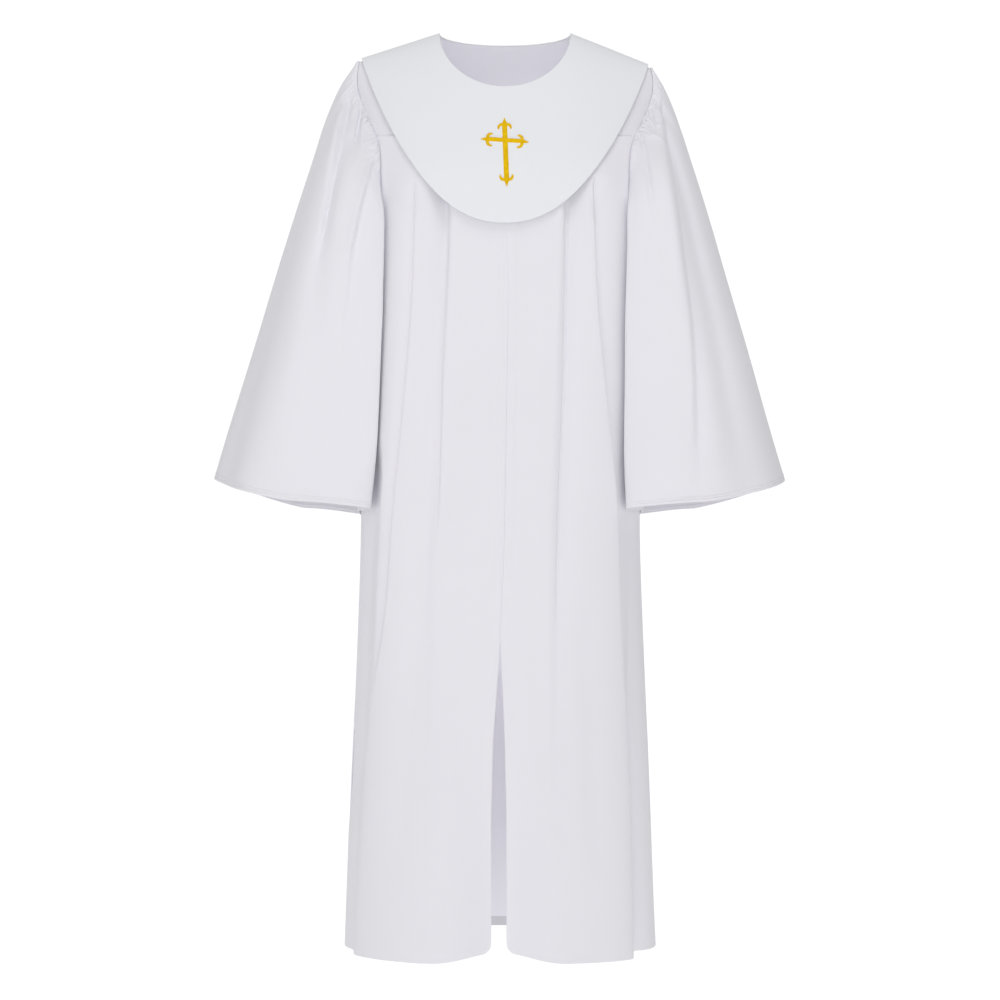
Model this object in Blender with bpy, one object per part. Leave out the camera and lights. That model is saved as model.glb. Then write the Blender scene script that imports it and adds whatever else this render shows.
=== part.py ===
import math

import bpy
import numpy as np
from mathutils import Vector
from mathutils.bvhtree import BVHTree
from mathutils.geometry import tessellate_polygon

# Sizes in metres. The origin is midway between the shoulder points by the neck, and the front faces -Y.
WALL = 0.0015
SEAM = 0.0003
YOKE_Z = -0.155
UNDERARM_Z = -0.290
HEM_Z = -1.315
PLEAT_START = 0.090
HEM_CORNER = 0.014

# Neck and shoulder line
NECK_HALF = 0.094
NECK_DROP = {"front": 0.088, "back": 0.010}
CREST = 0.012
SHOULDER_HALF = 0.207
SHOULDER_DROP = {-1: 0.039, 1: 0.048}
CHEST_DROP = {"front": 0.220, "back": 0.160}
CHEST_ROUND = {"front": 1.6, "back": 1.8}

# Cross sections of the body, from the shoulders to the hem
BODY_COLUMNS = ("z", "half_width", "front_depth", "back_depth", "squareness", "centre_x")
BODY = (
    (0.020, 0.2150, 0.104, 0.100, 3.0, 0.000),
    (-0.155, 0.2130, 0.122, 0.112, 3.0, 0.000),
    (-0.290, 0.2070, 0.148, 0.126, 3.1, -0.001),
    (-0.500, 0.2030, 0.160, 0.136, 2.9, -0.005),
    (-0.690, 0.2022, 0.166, 0.142, 2.6, -0.007),
    (-0.900, 0.2080, 0.172, 0.146, 2.4, -0.007),
    (-1.100, 0.2165, 0.183, 0.149, 2.4, -0.007),
    (-1.315, 0.2250, 0.193, 0.150, 2.4, -0.007),
)

# Armhole edge from the shoulder tip, drop 0, to the underarm, drop 1
ARMHOLE_COLUMNS = ("drop", "front_x", "back_x")
ARMHOLE = (
    (0.00, 0.2070, 0.2070),
    (0.15, 0.2100, 0.2100),
    (0.32, 0.1965, 0.1970),
    (0.50, 0.1840, 0.1870),
    (0.68, 0.1860, 0.1880),
    (0.84, 0.1960, 0.1970),
    (1.00, 0.2150, 0.2150),
)

# Line where the two fronts meet, and how far each stands off it in the slit
CENTRE_COLUMNS = ("z", "x", "half_gap")
CENTRE = (
    (-0.088, 0.0010, 0.00015),
    (-0.155, 0.0020, 0.00015),
    (-0.420, 0.0040, 0.00015),
    (-0.740, -0.0017, 0.00015),
    (-0.872, -0.0070, 0.00040),
    (-0.930, -0.0075, 0.0038),
    (-1.010, -0.0088, 0.0084),
    (-1.120, -0.0090, 0.0110),
    (-1.315, -0.0090, 0.0112),
)

# Folds of the body, each with its place, how far it stands out and how it widens, at three heights
FOLD_HEIGHTS = (-0.250, -0.750, -1.300)
FOLD_COLUMNS = (
    "face", "side", "x_chest", "x_hip", "x_hem", "out_chest", "out_hip", "out_hem", "width_in", "width_out",
)
FOLDS = (
    ("front", -1, 0.130, 0.158, 0.200, 0.003, 0.009, 0.005, 0.045, 0.026),
    ("front", -1, 0.084, 0.103, 0.110, -0.010, -0.004, 0.000, 0.009, 0.022),
    ("front", -1, 0.172, 0.190, 0.215, -0.003, -0.006, -0.008, 0.020, 0.030),
    ("front", -1, 0.030, 0.040, 0.009, 0.000, 0.000, -0.024, 0.052, 0.052),
    ("front", 1, 0.0935, 0.083, 0.081, -0.010, -0.0055, 0.000, 0.009, 0.024),
    ("front", 1, 0.130, 0.164, 0.176, 0.003, 0.012, 0.010, 0.045, 0.014),
    ("front", 1, 0.168, 0.190, 0.201, -0.004, -0.014, -0.030, 0.018, 0.036),
    ("front", 1, 0.030, 0.040, 0.009, 0.000, 0.000, -0.024, 0.052, 0.052),
    ("back", -1, 0.038, 0.045, 0.052, -0.009, -0.012, -0.015, 0.018, 0.016),
    ("back", -1, 0.082, 0.096, 0.108, 0.002, 0.007, 0.009, 0.022, 0.020),
    ("back", -1, 0.118, 0.136, 0.150, -0.007, -0.010, -0.013, 0.016, 0.020),
    ("back", -1, 0.160, 0.180, 0.198, 0.002, 0.005, 0.006, 0.020, 0.024),
    ("back", 1, 0.034, 0.048, 0.058, -0.009, -0.011, -0.016, 0.016, 0.018),
    ("back", 1, 0.078, 0.090, 0.104, 0.002, 0.006, 0.008, 0.020, 0.022),
    ("back", 1, 0.114, 0.132, 0.152, -0.007, -0.011, -0.012, 0.018, 0.018),
    ("back", 1, 0.158, 0.182, 0.196, 0.002, 0.005, 0.007, 0.020, 0.024),
)

# Sections of each sleeve from the armhole, at 0, to the hem, at 1
SLEEVE_COLUMNS = ("along", "outer_x", "outer_z", "inner_x", "inner_z", "front_y", "back_y", "wrap")
SLEEVE_SECTIONS = {
    -1: (
        (0.00, 0.2100, -0.040, 0.2100, -0.290, 0.080, 0.080, 0.000),
        (0.06, 0.2330, -0.068, 0.2070, -0.300, 0.100, 0.094, 0.018),
        (0.14, 0.2540, -0.110, 0.2030, -0.318, 0.120, 0.106, 0.034),
        (0.28, 0.2800, -0.186, 0.1950, -0.355, 0.132, 0.114, 0.050),
        (0.46, 0.3140, -0.295, 0.1870, -0.425, 0.137, 0.118, 0.051),
        (0.64, 0.3500, -0.410, 0.1850, -0.505, 0.136, 0.118, 0.050),
        (0.82, 0.3850, -0.526, 0.1890, -0.596, 0.134, 0.116, 0.052),
        (1.00, 0.4205, -0.642, 0.1960, -0.687, 0.128, 0.114, 0.038),
    ),
    1: (
        (0.00, 0.2100, -0.049, 0.2100, -0.290, 0.080, 0.080, 0.000),
        (0.06, 0.2290, -0.076, 0.2070, -0.300, 0.100, 0.094, 0.018),
        (0.14, 0.2480, -0.118, 0.2030, -0.318, 0.120, 0.106, 0.034),
        (0.28, 0.2720, -0.195, 0.1940, -0.355, 0.132, 0.114, 0.046),
        (0.46, 0.3060, -0.302, 0.1860, -0.425, 0.137, 0.118, 0.046),
        (0.64, 0.3420, -0.424, 0.1810, -0.505, 0.137, 0.118, 0.049),
        (0.82, 0.3740, -0.538, 0.1790, -0.596, 0.136, 0.116, 0.052),
        (1.00, 0.4060, -0.644, 0.1800, -0.687, 0.134, 0.114, 0.046),
    ),
}
SLEEVE_START = 0.0009
SLEEVE_HEAD_END = 0.34
SLEEVE_SQUARE = 0.5
WRAP_TURN = 1.1
WRAP_WIDTH = 0.55
SLEEVE_HEAD_ROWS = (0.0, 0.02, 0.05, 0.09, 0.14, 0.20)
SLEEVE_FALL_ROWS = (0.28, 0.37, 0.46, 0.55, 0.64, 0.73, 0.82, 0.91, 1.0)
SLEEVE_COUNT = 36
HEM_SAG = {"front": 0.010, "back": 0.024}

# How the sleeve clears the side of the body: the space, where it is reached and how softly it bends
SLEEVE_CLEAR = 0.0060
CLEAR_FROM = 0.1
CLEAR_BEND = 0.004
ARM_SIDE = 0.19
CHEST_SIDE_ROUND = 1.7

# Gathers round a sleeve head, and how their spacing and size change round it
GATHERS = 18
GATHER_OUT = 0.0034
GATHER_LEAD = 0.008
GATHER_RISE = 0.045
GATHER_FADE = 0.11
UNEVEN_COLUMNS = ("size", "times_round", "turned")
GATHER_SPACING = ((0.030, 5, 0.0), (0.018, 7, 1.0))
GATHER_SIZES = ((0.35, 3, 0.5), (0.20, 8, 0.0))

# Folds of each sleeve, by the angle round it from the outer edge, front at 90 degrees
SLEEVE_FOLD_COLUMNS = ("side", "turn_head", "turn_hem", "out_head", "out_middle", "out_hem", "width")
FOLDS_FROM = 0.12
SLEEVE_FOLDS = (
    (-1, 62, 96, -0.006, -0.010, 0.000, 12),
    (-1, 104, 62, 0.004, 0.006, 0.004, 20),
    (-1, 30, 34, -0.002, -0.004, -0.005, 14),
    (-1, 236, 244, -0.006, -0.009, -0.008, 16),
    (-1, 288, 300, -0.005, -0.008, -0.007, 15),
    (1, 58, 66, -0.004, -0.011, -0.004, 13),
    (1, 84, 92, 0.004, 0.008, 0.004, 18),
    (1, 128, 118, -0.005, -0.003, -0.003, 14),
    (1, 240, 232, -0.006, -0.009, -0.009, 16),
    (1, 292, 286, -0.005, -0.008, -0.006, 15),
)

# Overlay collar: its lowest points, the curve of its edge and how far it lies off the cloth
COLLAR_HALF = 0.2065
COLLAR_BOTTOM = {"front": 0.2868, "back": 0.190}
COLLAR_CURVE = {"front": 2.28, "back": 2.6}
COLLAR_LIFT = 0.0012
COLLAR_EDGE_LIFT = 0.0040
COLLAR_COUNT = 48
COLLAR_CROWD = 0.30
COLLAR_ROWS = 7

# Cross: where its bars meet, its four arms, and half of one end from its tip
CROSS_X = 0.0
CROSS_Z = -0.168
CROSS_BAR = 0.0034
CROSS_RISE = 0.0010
CROSS_STEP = 0.009
ARM_COLUMNS = ("lean", "length")
ARMS = ((-2.0, 0.0335), (94.0, 0.0335), (178.0, 0.0665), (274.0, 0.0345))
TIP_COLUMNS = ("back", "across")
TIP = (
    (0.0000, 0.0000),
    (0.0050, 0.0020),
    (0.0070, 0.0042),
    (0.0078, 0.0068),
    (0.0096, 0.0092),
    (0.0122, 0.0100),
    (0.0154, 0.0092),
    (0.0160, 0.0078),
    (0.0136, 0.0064),
    (0.0130, 0.0048),
    (0.0140, 0.0034),
)

# Rows of points down the panels and columns across them
PANEL_ROWS = 15
PANEL_CROWD = 1.25
FOLD_CROWD = 1.6
FOLD_REACH = 0.022
FRONT_COUNT = 19
BACK_COUNT = 33
YOKE_ROWS = 9
YOKE_CROWD = 2.2
YOKE_COUNT = 11
RING_STEPS = 241
RING_RUN = 0.002

CLOTH = (0.80, 0.80, 0.83, 1.0)
COLLAR_COLOUR = (0.84, 0.85, 0.87, 1.0)
GOLD = (0.83, 0.47, 0.03, 1.0)


def column(table, names, name):
    place = names.index(name)
    return np.array([row[place] for row in table])


def smooth_through(keys, values, at):
    """A smooth curve through the values, with level ends."""
    keys = np.asarray(keys, float)
    values = np.asarray(values, float)
    if keys[0] > keys[-1]:
        keys = keys[::-1]
        values = values[::-1]
    steps = np.diff(values) / np.diff(keys)
    slopes = np.concatenate([steps[:1], (steps[1:] + steps[:-1]) / 2, steps[-1:]])
    at = np.clip(at, keys[0], keys[-1])
    index = np.clip(np.searchsorted(keys, at) - 1, 0, len(keys) - 2)
    span = keys[index + 1] - keys[index]
    part = (at - keys[index]) / span
    low = values[index] * (1 + 2 * part) * (1 - part) ** 2
    high = values[index + 1] * part**2 * (3 - 2 * part)
    bend = part * (1 - part) ** 2 * slopes[index] - part**2 * (1 - part) * slopes[index + 1]
    return low + high + bend * span


def body(name, z):
    return smooth_through(column(BODY, BODY_COLUMNS, "z"), column(BODY, BODY_COLUMNS, name), z)


def centre(name, z):
    keys = column(CENTRE, CENTRE_COLUMNS, "z")
    return np.interp(-z, -keys, column(CENTRE, CENTRE_COLUMNS, name))


def eased(value):
    value = np.clip(value, 0, 1)
    return value * value * (3 - 2 * value)


def shoulder_line(x):
    """Height of the shoulder seam at a distance x from the middle, carried across the neck."""
    far = np.abs(x)
    drop = np.where(x < 0, SHOULDER_DROP[-1], SHOULDER_DROP[1])
    over_neck = CREST * (1 - (np.minimum(far, NECK_HALF) / NECK_HALF) ** 2)
    return over_neck - drop * np.maximum(far - NECK_HALF, 0) / (SHOULDER_HALF - NECK_HALF)


def depth(face, x, z):
    """How far the plain body stands forward or back of its middle, at x across and z up."""
    power = body("squareness", z)
    across = np.clip(np.abs(x) / body("half_width", z), 0, 1) ** power
    full = body(face + "_depth", z) * (1 - across) ** (1 / power)
    fall = np.clip((shoulder_line(x) - z) / CHEST_DROP[face], 0, 1)
    return full * (1 - (1 - fall) ** CHEST_ROUND[face]) ** (1 / CHEST_ROUND[face])


def body_point(face, x, z):
    """A point of the plain body's outer surface, and the seam's half gap off the middle."""
    toward = -1 if face == "front" else 1
    away = depth(face, x, z) + SEAM / 2
    return np.stack(np.broadcast_arrays(x + body("centre_x", z), toward * away, z), axis=-1)


def armhole_x(face, side, z):
    tip = shoulder_line(side * SHOULDER_HALF)
    drop = (tip - z) / (tip - UNDERARM_Z)
    keys = column(ARMHOLE, ARMHOLE_COLUMNS, "drop")
    edge = smooth_through(keys, column(ARMHOLE, ARMHOLE_COLUMNS, face + "_x"), drop)
    return np.minimum(edge, body("half_width", z))


class Ring:
    """The level line round the front or back of the body at one height, measured along the cloth."""

    def __init__(self, face, z):
        self.face = face
        self.z = z
        turn = np.radians(np.linspace(-90, 90, RING_STEPS))
        power = 2 / body("squareness", z)
        self.x = body("half_width", z) * np.sign(np.sin(turn)) * np.abs(np.sin(turn)) ** power
        self.points = body_point(face, self.x, np.full(RING_STEPS, z))
        steps = np.linalg.norm(np.diff(self.points, axis=0), axis=1)
        self.along = np.concatenate([[0], np.cumsum(steps)])
        self.along -= self.along[RING_STEPS // 2]

    def place(self, x):
        return np.interp(x, self.x, self.along)

    def fold(self, along):
        """How far the folds stand off the plain cloth."""
        off = np.zeros_like(along)
        for row in FOLDS:
            fold = dict(zip(FOLD_COLUMNS, row))
            if fold["face"] != self.face:
                continue
            x = smooth_through(FOLD_HEIGHTS, [fold["x_chest"], fold["x_hip"], fold["x_hem"]], self.z)
            out = smooth_through(FOLD_HEIGHTS, [fold["out_chest"], fold["out_hip"], fold["out_hem"]], self.z)
            away = fold["side"] * along - self.place(x)
            width = np.where(away < 0, fold["width_in"], fold["width_out"])
            off += out * np.exp(-((away / width) ** 2))
        return off * eased((YOKE_Z - self.z) / PLEAT_START)

    def line(self, along):
        """Points of the folded cloth at these places along the ring."""
        base = np.stack([np.interp(along, self.along, self.points[:, i]) for i in range(3)], axis=-1)
        ahead = np.stack([np.interp(along + RING_RUN, self.along, self.points[:, i]) for i in range(2)], axis=-1)
        behind = np.stack([np.interp(along - RING_RUN, self.along, self.points[:, i]) for i in range(2)], axis=-1)
        run = ahead - behind
        run /= np.linalg.norm(run, axis=1)[:, None]
        toward = 1 if self.face == "front" else -1
        out = np.stack([toward * run[:, 1], -toward * run[:, 0]], axis=-1)
        base[:, :2] += out * self.fold(along)[:, None]
        return base


def spread(start, stop, count, gather_at):
    """Places from start to stop, closer together by the folds."""
    fine = np.linspace(start, stop, 400)
    weight = np.ones_like(fine)
    for place in gather_at:
        weight += FOLD_CROWD * np.exp(-(((fine - place) / FOLD_REACH) ** 2))
    total = np.concatenate([[0], np.cumsum((weight[1:] + weight[:-1]) / 2)])
    return np.interp(np.linspace(0, total[-1], count), total, fine)


def fold_places(ring, sides):
    found = []
    for row in FOLDS:
        fold = dict(zip(FOLD_COLUMNS, row))
        if fold["face"] == ring.face and fold["side"] in sides:
            x = smooth_through(FOLD_HEIGHTS, [fold["x_chest"], fold["x_hip"], fold["x_hem"]], ring.z)
            found.append(ring.place(fold["side"] * x))
    return found


def panel_heights():
    """Rows of a panel, closer together above the underarm."""
    part = np.linspace(0, 1, PANEL_ROWS) ** PANEL_CROWD
    top = YOKE_Z - SEAM / 2
    rows = top + (HEM_Z - top) * part
    nearest = np.argmin(np.abs(rows - UNDERARM_Z))
    rows[nearest] = UNDERARM_Z
    return rows


def front_panel(side):
    """Rows of points from the centre front to the armhole or the side seam."""
    rows = []
    for z in panel_heights():
        ring = Ring("front", z)
        middle = centre("x", z) - body("centre_x", z) + side * centre("half_gap", z)
        start = ring.place(middle)
        edge = armhole_x("front", side, z) if z > UNDERARM_Z else body("half_width", z)
        stop = ring.place(side * edge)
        along = spread(start, stop, FRONT_COUNT, fold_places(ring, (side,)) + [start])
        line = ring.line(along)
        if z == HEM_Z:
            off = np.clip(HEM_CORNER - np.abs(along - start), 0, HEM_CORNER)
            line[:, 2] += HEM_CORNER - np.sqrt(HEM_CORNER**2 - off**2)
        rows.append(line)
    return np.array(rows)


def back_panel():
    rows = []
    for z in panel_heights():
        ring = Ring("back", z)
        ends = []
        for side in (-1, 1):
            edge = armhole_x("back", side, z) if z > UNDERARM_Z else body("half_width", z)
            ends.append(ring.place(side * edge))
        along = spread(ends[0], ends[1], BACK_COUNT, fold_places(ring, (-1, 1)))
        rows.append(ring.line(along))
    return np.array(rows)


def neck_height(face, x):
    inside = np.clip(1 - (np.abs(x) / NECK_HALF) ** 2, 0, 1)
    return -NECK_DROP[face] * np.sqrt(inside)


def yoke_top(face, x):
    return np.where(np.abs(x) < NECK_HALF, neck_height(face, x), shoulder_line(x))


def yoke(face, parts):
    """Rows from the neck and shoulder seam down to the yoke seam; parts run across from -1 to 1."""
    rows = []
    for down in np.linspace(0, 1, YOKE_ROWS) ** YOKE_CROWD:
        edges = {}
        for side in (-1, 1):
            tip = shoulder_line(side * SHOULDER_HALF)
            edges[side] = armhole_x(face, side, tip + (YOKE_Z - tip) * down)
        edge = np.where(parts < 0, edges[-1], edges[1])
        top_x = SHOULDER_HALF * parts
        top = yoke_top(face, top_x)
        z = top + (YOKE_Z + SEAM / 2 - top) * down
        rows.append(body_point(face, edge * parts, z))
    return np.array(rows)


def grid_faces(rows, columns, closed=False):
    faces = []
    for r in range(rows - 1):
        for c in range(columns if closed else columns - 1):
            right = (c + 1) % columns
            faces.append((r * columns + c, (r + 1) * columns + c, (r + 1) * columns + right, r * columns + right))
    return faces


def armhole_loop(side, count):
    """The armhole edge: the tip first, down the front to the underarm and up the back."""
    tip = shoulder_line(side * SHOULDER_HALF)
    down = (1 - np.cos(np.linspace(0, math.pi, 90))) / 2
    heights = tip + (UNDERARM_Z - tip) * down
    front = body_point("front", side * armhole_x("front", side, heights), heights)
    back = body_point("back", side * armhole_x("back", side, heights), heights)
    front[0, 1] = 0
    front[-1, 1] = 0
    loop = np.concatenate([front, back[-2:0:-1], front[:1]])
    along = np.concatenate([[0], np.cumsum(np.linalg.norm(np.diff(loop, axis=0), axis=1))])
    at = np.linspace(0, along[-1], count, endpoint=False)
    points = np.stack([np.interp(at, along, loop[:, i]) for i in range(3)], axis=-1)
    points[:, 0] += side * SLEEVE_START
    return points


def uneven(table, turn):
    total = np.zeros_like(turn)
    for row in table:
        wave = dict(zip(UNEVEN_COLUMNS, row))
        total += wave["size"] * np.sin(wave["times_round"] * turn + wave["turned"])
    return total


def sleeve_turns(count):
    """Angles round a sleeve, unevenly spaced as its gathers are."""
    turn = np.linspace(0, 2 * math.pi, count, endpoint=False)
    return turn + uneven(GATHER_SPACING, turn)


def sleeve_ring(side, along, count):
    table = SLEEVE_SECTIONS[side]
    keys = column(table, SLEEVE_COLUMNS, "along")

    def size(name, at=along):
        return smooth_through(keys, column(table, SLEEVE_COLUMNS, name), np.array(at))

    turn = sleeve_turns(count)

    def hanging(at):
        middle_x = (size("outer_x", at) + size("inner_x", at)) / 2
        middle_z = (size("outer_z", at) + size("inner_z", at)) / 2
        half_x = (size("outer_x", at) - size("inner_x", at)) / 2
        half_z = (size("outer_z", at) - size("inner_z", at)) / 2
        fore = np.sin(turn) > 0
        reach = np.where(fore, size("front_y", at), size("back_y", at))
        sag = np.where(fore, HEM_SAG["front"], HEM_SAG["back"]) * at**2
        wrap = size("wrap", at) * np.exp(-(((np.abs(turn - math.pi) - WRAP_TURN) / WRAP_WIDTH) ** 2))
        level = np.cos(turn)
        square = np.where(level < 0, -np.abs(level) ** SLEEVE_SQUARE, level)
        x = middle_x + half_x * square - wrap
        z = middle_z + half_z * level - sag * np.abs(np.sin(turn))
        return np.stack([side * x, -reach * np.sin(turn), z], axis=-1)

    ring = hanging(along)
    start = armhole_loop(side, 4 * SLEEVE_COUNT)
    at = np.linspace(0, 2 * math.pi, 4 * SLEEVE_COUNT, endpoint=False)
    loop = np.stack([np.interp(turn, at, start[:, i], period=2 * math.pi) for i in range(3)], axis=-1)
    ring += (loop - hanging(0.0)) * max(0.0, 1 - along / SLEEVE_HEAD_END) ** 2
    outward = np.array(ring - ring.mean(axis=0))
    outward /= np.linalg.norm(outward, axis=1)[:, None]
    lift = np.zeros(count)
    degrees = np.degrees(turn)
    for row in SLEEVE_FOLDS:
        fold = dict(zip(SLEEVE_FOLD_COLUMNS, row))
        if fold["side"] != side:
            continue
        place = fold["turn_head"] + (fold["turn_hem"] - fold["turn_head"]) * along
        out = smooth_through((0, 0.5, 1), [fold["out_head"], fold["out_middle"], fold["out_hem"]], np.array(along))
        lift += out * eased(along / FOLDS_FROM) * np.exp(-(((degrees - place) / fold["width"]) ** 2))
    if count == 2 * SLEEVE_COUNT:
        wave = np.cos(2 * math.pi * GATHERS * np.arange(count) / count)
        grow = eased((along + GATHER_LEAD) / GATHER_RISE) * math.exp(-((along / GATHER_FADE) ** 2))
        lift += GATHER_OUT * wave * (1 + uneven(GATHER_SIZES, turn)) * grow
    ring += outward * lift[:, None]
    return keep_off_body(side, along, ring)


def keep_off_body(side, along, ring):
    """Moves points of a sleeve outward until they clear the side of the body."""
    clear = SLEEVE_START + (SLEEVE_CLEAR - SLEEVE_START) * eased(along / CLEAR_FROM)
    z = np.minimum(ring[:, 2], YOKE_Z)
    face_depth = np.where(ring[:, 1] < 0, body("front_depth", z), body("back_depth", z))
    fall = np.where(ring[:, 1] < 0, CHEST_DROP["front"], CHEST_DROP["back"])
    part = np.clip((shoulder_line(side * ARM_SIDE) - z) / fall, 0, 1)
    face_depth = face_depth * (1 - (1 - part) ** CHEST_SIDE_ROUND) ** (1 / CHEST_SIDE_ROUND) + clear
    power = body("squareness", z)
    inside = np.clip(np.abs(ring[:, 1]) / face_depth, 0, 1) ** power
    least = (body("half_width", z) + clear) * (1 - inside) ** (1 / power)
    least = least + side * body("centre_x", z)
    x = side * ring[:, 0]
    soft = CLEAR_BEND * eased(along / CLEAR_FROM) + SEAM / 3
    pushed = least + np.logaddexp(0, (x - least) / soft) * soft
    pushed = np.where((inside >= 1) | (along == 0) | (ring[:, 2] > YOKE_Z), x, pushed)
    ring[:, 0] = side * np.maximum(x, pushed)
    return ring


def sleeve(side):
    """Points and faces of a sleeve: a closely gathered head that joins a plainer fall."""
    head = SLEEVE_COUNT * 2
    points = []
    faces = grid_faces(len(SLEEVE_HEAD_ROWS), head, True)
    for along in SLEEVE_HEAD_ROWS:
        points.append(sleeve_ring(side, along, head))
    last = (len(SLEEVE_HEAD_ROWS) - 1) * head
    first = len(SLEEVE_HEAD_ROWS) * head
    for along in SLEEVE_FALL_ROWS:
        points.append(sleeve_ring(side, along, head)[::2])
    for c in range(SLEEVE_COUNT):
        a = last + 2 * c
        b = a + 1
        d = last + (2 * c + 2) % head
        low = first + c
        low_next = first + (c + 1) % SLEEVE_COUNT
        faces += [(a, low, b), (b, low, low_next), (b, low_next, d)]
    for face in grid_faces(len(SLEEVE_FALL_ROWS), SLEEVE_COUNT, True):
        faces.append(tuple(first + corner for corner in face))
    return np.concatenate(points), faces


def collar():
    """Rows of points from the neck edge to the outer edge, each running once round the neck."""
    turn = np.linspace(0, 2 * math.pi, COLLAR_COUNT, endpoint=False)
    turn += COLLAR_CROWD * np.sin(2 * turn)
    rows = []
    for out in np.linspace(0, 1, COLLAR_ROWS):
        row = []
        for angle in turn:
            face = "front" if math.cos(angle) >= 0 else "back"
            level = abs(math.cos(angle))
            neck_x = NECK_HALF * math.sin(angle)
            neck_drop = shoulder_line(neck_x) + NECK_DROP[face] * level
            edge_x = COLLAR_HALF * math.copysign(abs(math.sin(angle)), math.sin(angle))
            tip = shoulder_line(math.copysign(COLLAR_HALF, edge_x))
            curve = (abs(edge_x) / COLLAR_HALF) ** COLLAR_CURVE[face]
            edge_z = -COLLAR_BOTTOM[face] + (tip + COLLAR_BOTTOM[face]) * curve
            edge_drop = shoulder_line(edge_x) - edge_z
            x = neck_x + (edge_x - neck_x) * out
            drop = max(neck_drop + (edge_drop - neck_drop) * out, 0)
            row.append(body_point(face, np.array(x), np.array(shoulder_line(x) - drop)))
        rows.append(row)
    points = np.array(rows)
    points[:, :, 1] *= np.where(np.abs(points[:, :, 1]) < SEAM, 0, 1)
    return points.reshape(-1, 3), grid_faces(COLLAR_ROWS, COLLAR_COUNT, True)


def normals(points, faces):
    total = np.zeros_like(points)
    for face in faces:
        corners = points[list(face)]
        turn = np.zeros(3)
        for i in range(1, len(face) - 1):
            turn += np.cross(corners[i] - corners[0], corners[i + 1] - corners[0])
        total[list(face)] += turn
    return total / np.linalg.norm(total, axis=1)[:, None]


def halved(points, faces):
    """The faces as triangles, each four-sided one cut along its shorter diagonal, the same on both sides of a wall."""
    triangles = []
    for face in faces:
        if len(face) == 3:
            triangles.append(tuple(face))
            continue
        a, b, c, d = face
        if np.linalg.norm(points[a] - points[c]) <= np.linalg.norm(points[b] - points[d]):
            triangles += [(a, b, c), (a, c, d)]
        else:
            triangles += [(b, c, d), (b, d, a)]
    return triangles


def material(name, colour, roughness):
    made = bpy.data.materials.new(name)
    made.use_nodes = True
    shader = made.node_tree.nodes["Principled BSDF"]
    shader.inputs["Base Color"].default_value = colour
    shader.inputs["Roughness"].default_value = roughness
    shader.inputs["Metallic"].default_value = 0.0
    return made


def closed_body(name, points, faces, look):
    mesh = bpy.data.meshes.new(name)
    mesh.from_pydata([tuple(point) for point in points], [], faces)
    mesh.validate()
    for polygon in mesh.polygons:
        polygon.use_smooth = True
    mesh.materials.append(look)
    made = bpy.data.objects.new(name, mesh)
    bpy.context.scene.collection.objects.link(made)
    return made


def wall(name, points, faces, look, level=None, lift=None):
    """A cloth wall inside an outer surface. level maps points to the axes their normals have none of."""
    out = normals(points, faces)
    for index, axes in (level or {}).items():
        out[index, axes] = 0
    out /= np.linalg.norm(out, axis=1)[:, None]
    if lift is not None:
        points = points + out * lift[:, None]
    count = len(points)
    inner = points - out * WALL
    faces = halved(points, faces)
    every = [tuple(face) for face in faces] + [tuple(count + i for i in reversed(face)) for face in faces]
    used = set()
    for face in faces:
        for i in range(len(face)):
            used.add((face[i], face[(i + 1) % len(face)]))
    for a, b in sorted(used):
        if (b, a) not in used:
            every.append((b, a, count + a, count + b))
    return closed_body(name, np.concatenate([points, inner]), every, look)


def grid_wall(name, grid, look, flip, level):
    """A wall from rows of points. level gives the axis to clear at each edge: top, bottom, first, last."""
    rows, columns = grid.shape[:2]
    faces = grid_faces(rows, columns)
    if flip:
        faces = [tuple(reversed(face)) for face in faces]
    clear = {}
    edges = {
        "top": range(columns),
        "bottom": range((rows - 1) * columns, rows * columns),
        "first": range(0, rows * columns, columns),
        "last": range(columns - 1, rows * columns, columns),
    }
    for edge, axis in level.items():
        for index in edges[edge]:
            clear.setdefault(index, []).append(axis)
    return wall(name, grid.reshape(-1, 3), faces, look, clear)


def cross_outline():
    """The flat outline of the cross, going round its four arms."""
    outline = []
    for number, row in enumerate(ARMS):
        arm = dict(zip(ARM_COLUMNS, row))
        lean = math.radians(arm["lean"])
        along = (math.sin(lean), math.cos(lean))
        across = (math.cos(lean), -math.sin(lean))
        tip = [dict(zip(TIP_COLUMNS, point)) for point in TIP]
        straight = arm["length"] - tip[-1]["back"]
        steps = max(1, round((straight - CROSS_BAR) / CROSS_STEP))
        up = [(CROSS_BAR + (straight - CROSS_BAR) * i / steps, CROSS_BAR) for i in range(1, steps)]
        end = [(arm["length"] - point["back"], point["across"]) for point in reversed(tip)]
        half = up + end
        whole = [(far, -side) for far, side in half] + [(far, side) for far, side in reversed(half[:-1])]
        for far, side in whole:
            outline.append((along[0] * far + across[0] * side, along[1] * far + across[1] * side))
        turn = lean + math.radians(45)
        outline.append((CROSS_BAR * math.sqrt(2) * math.sin(turn), CROSS_BAR * math.sqrt(2) * math.cos(turn)))
    return outline


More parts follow.
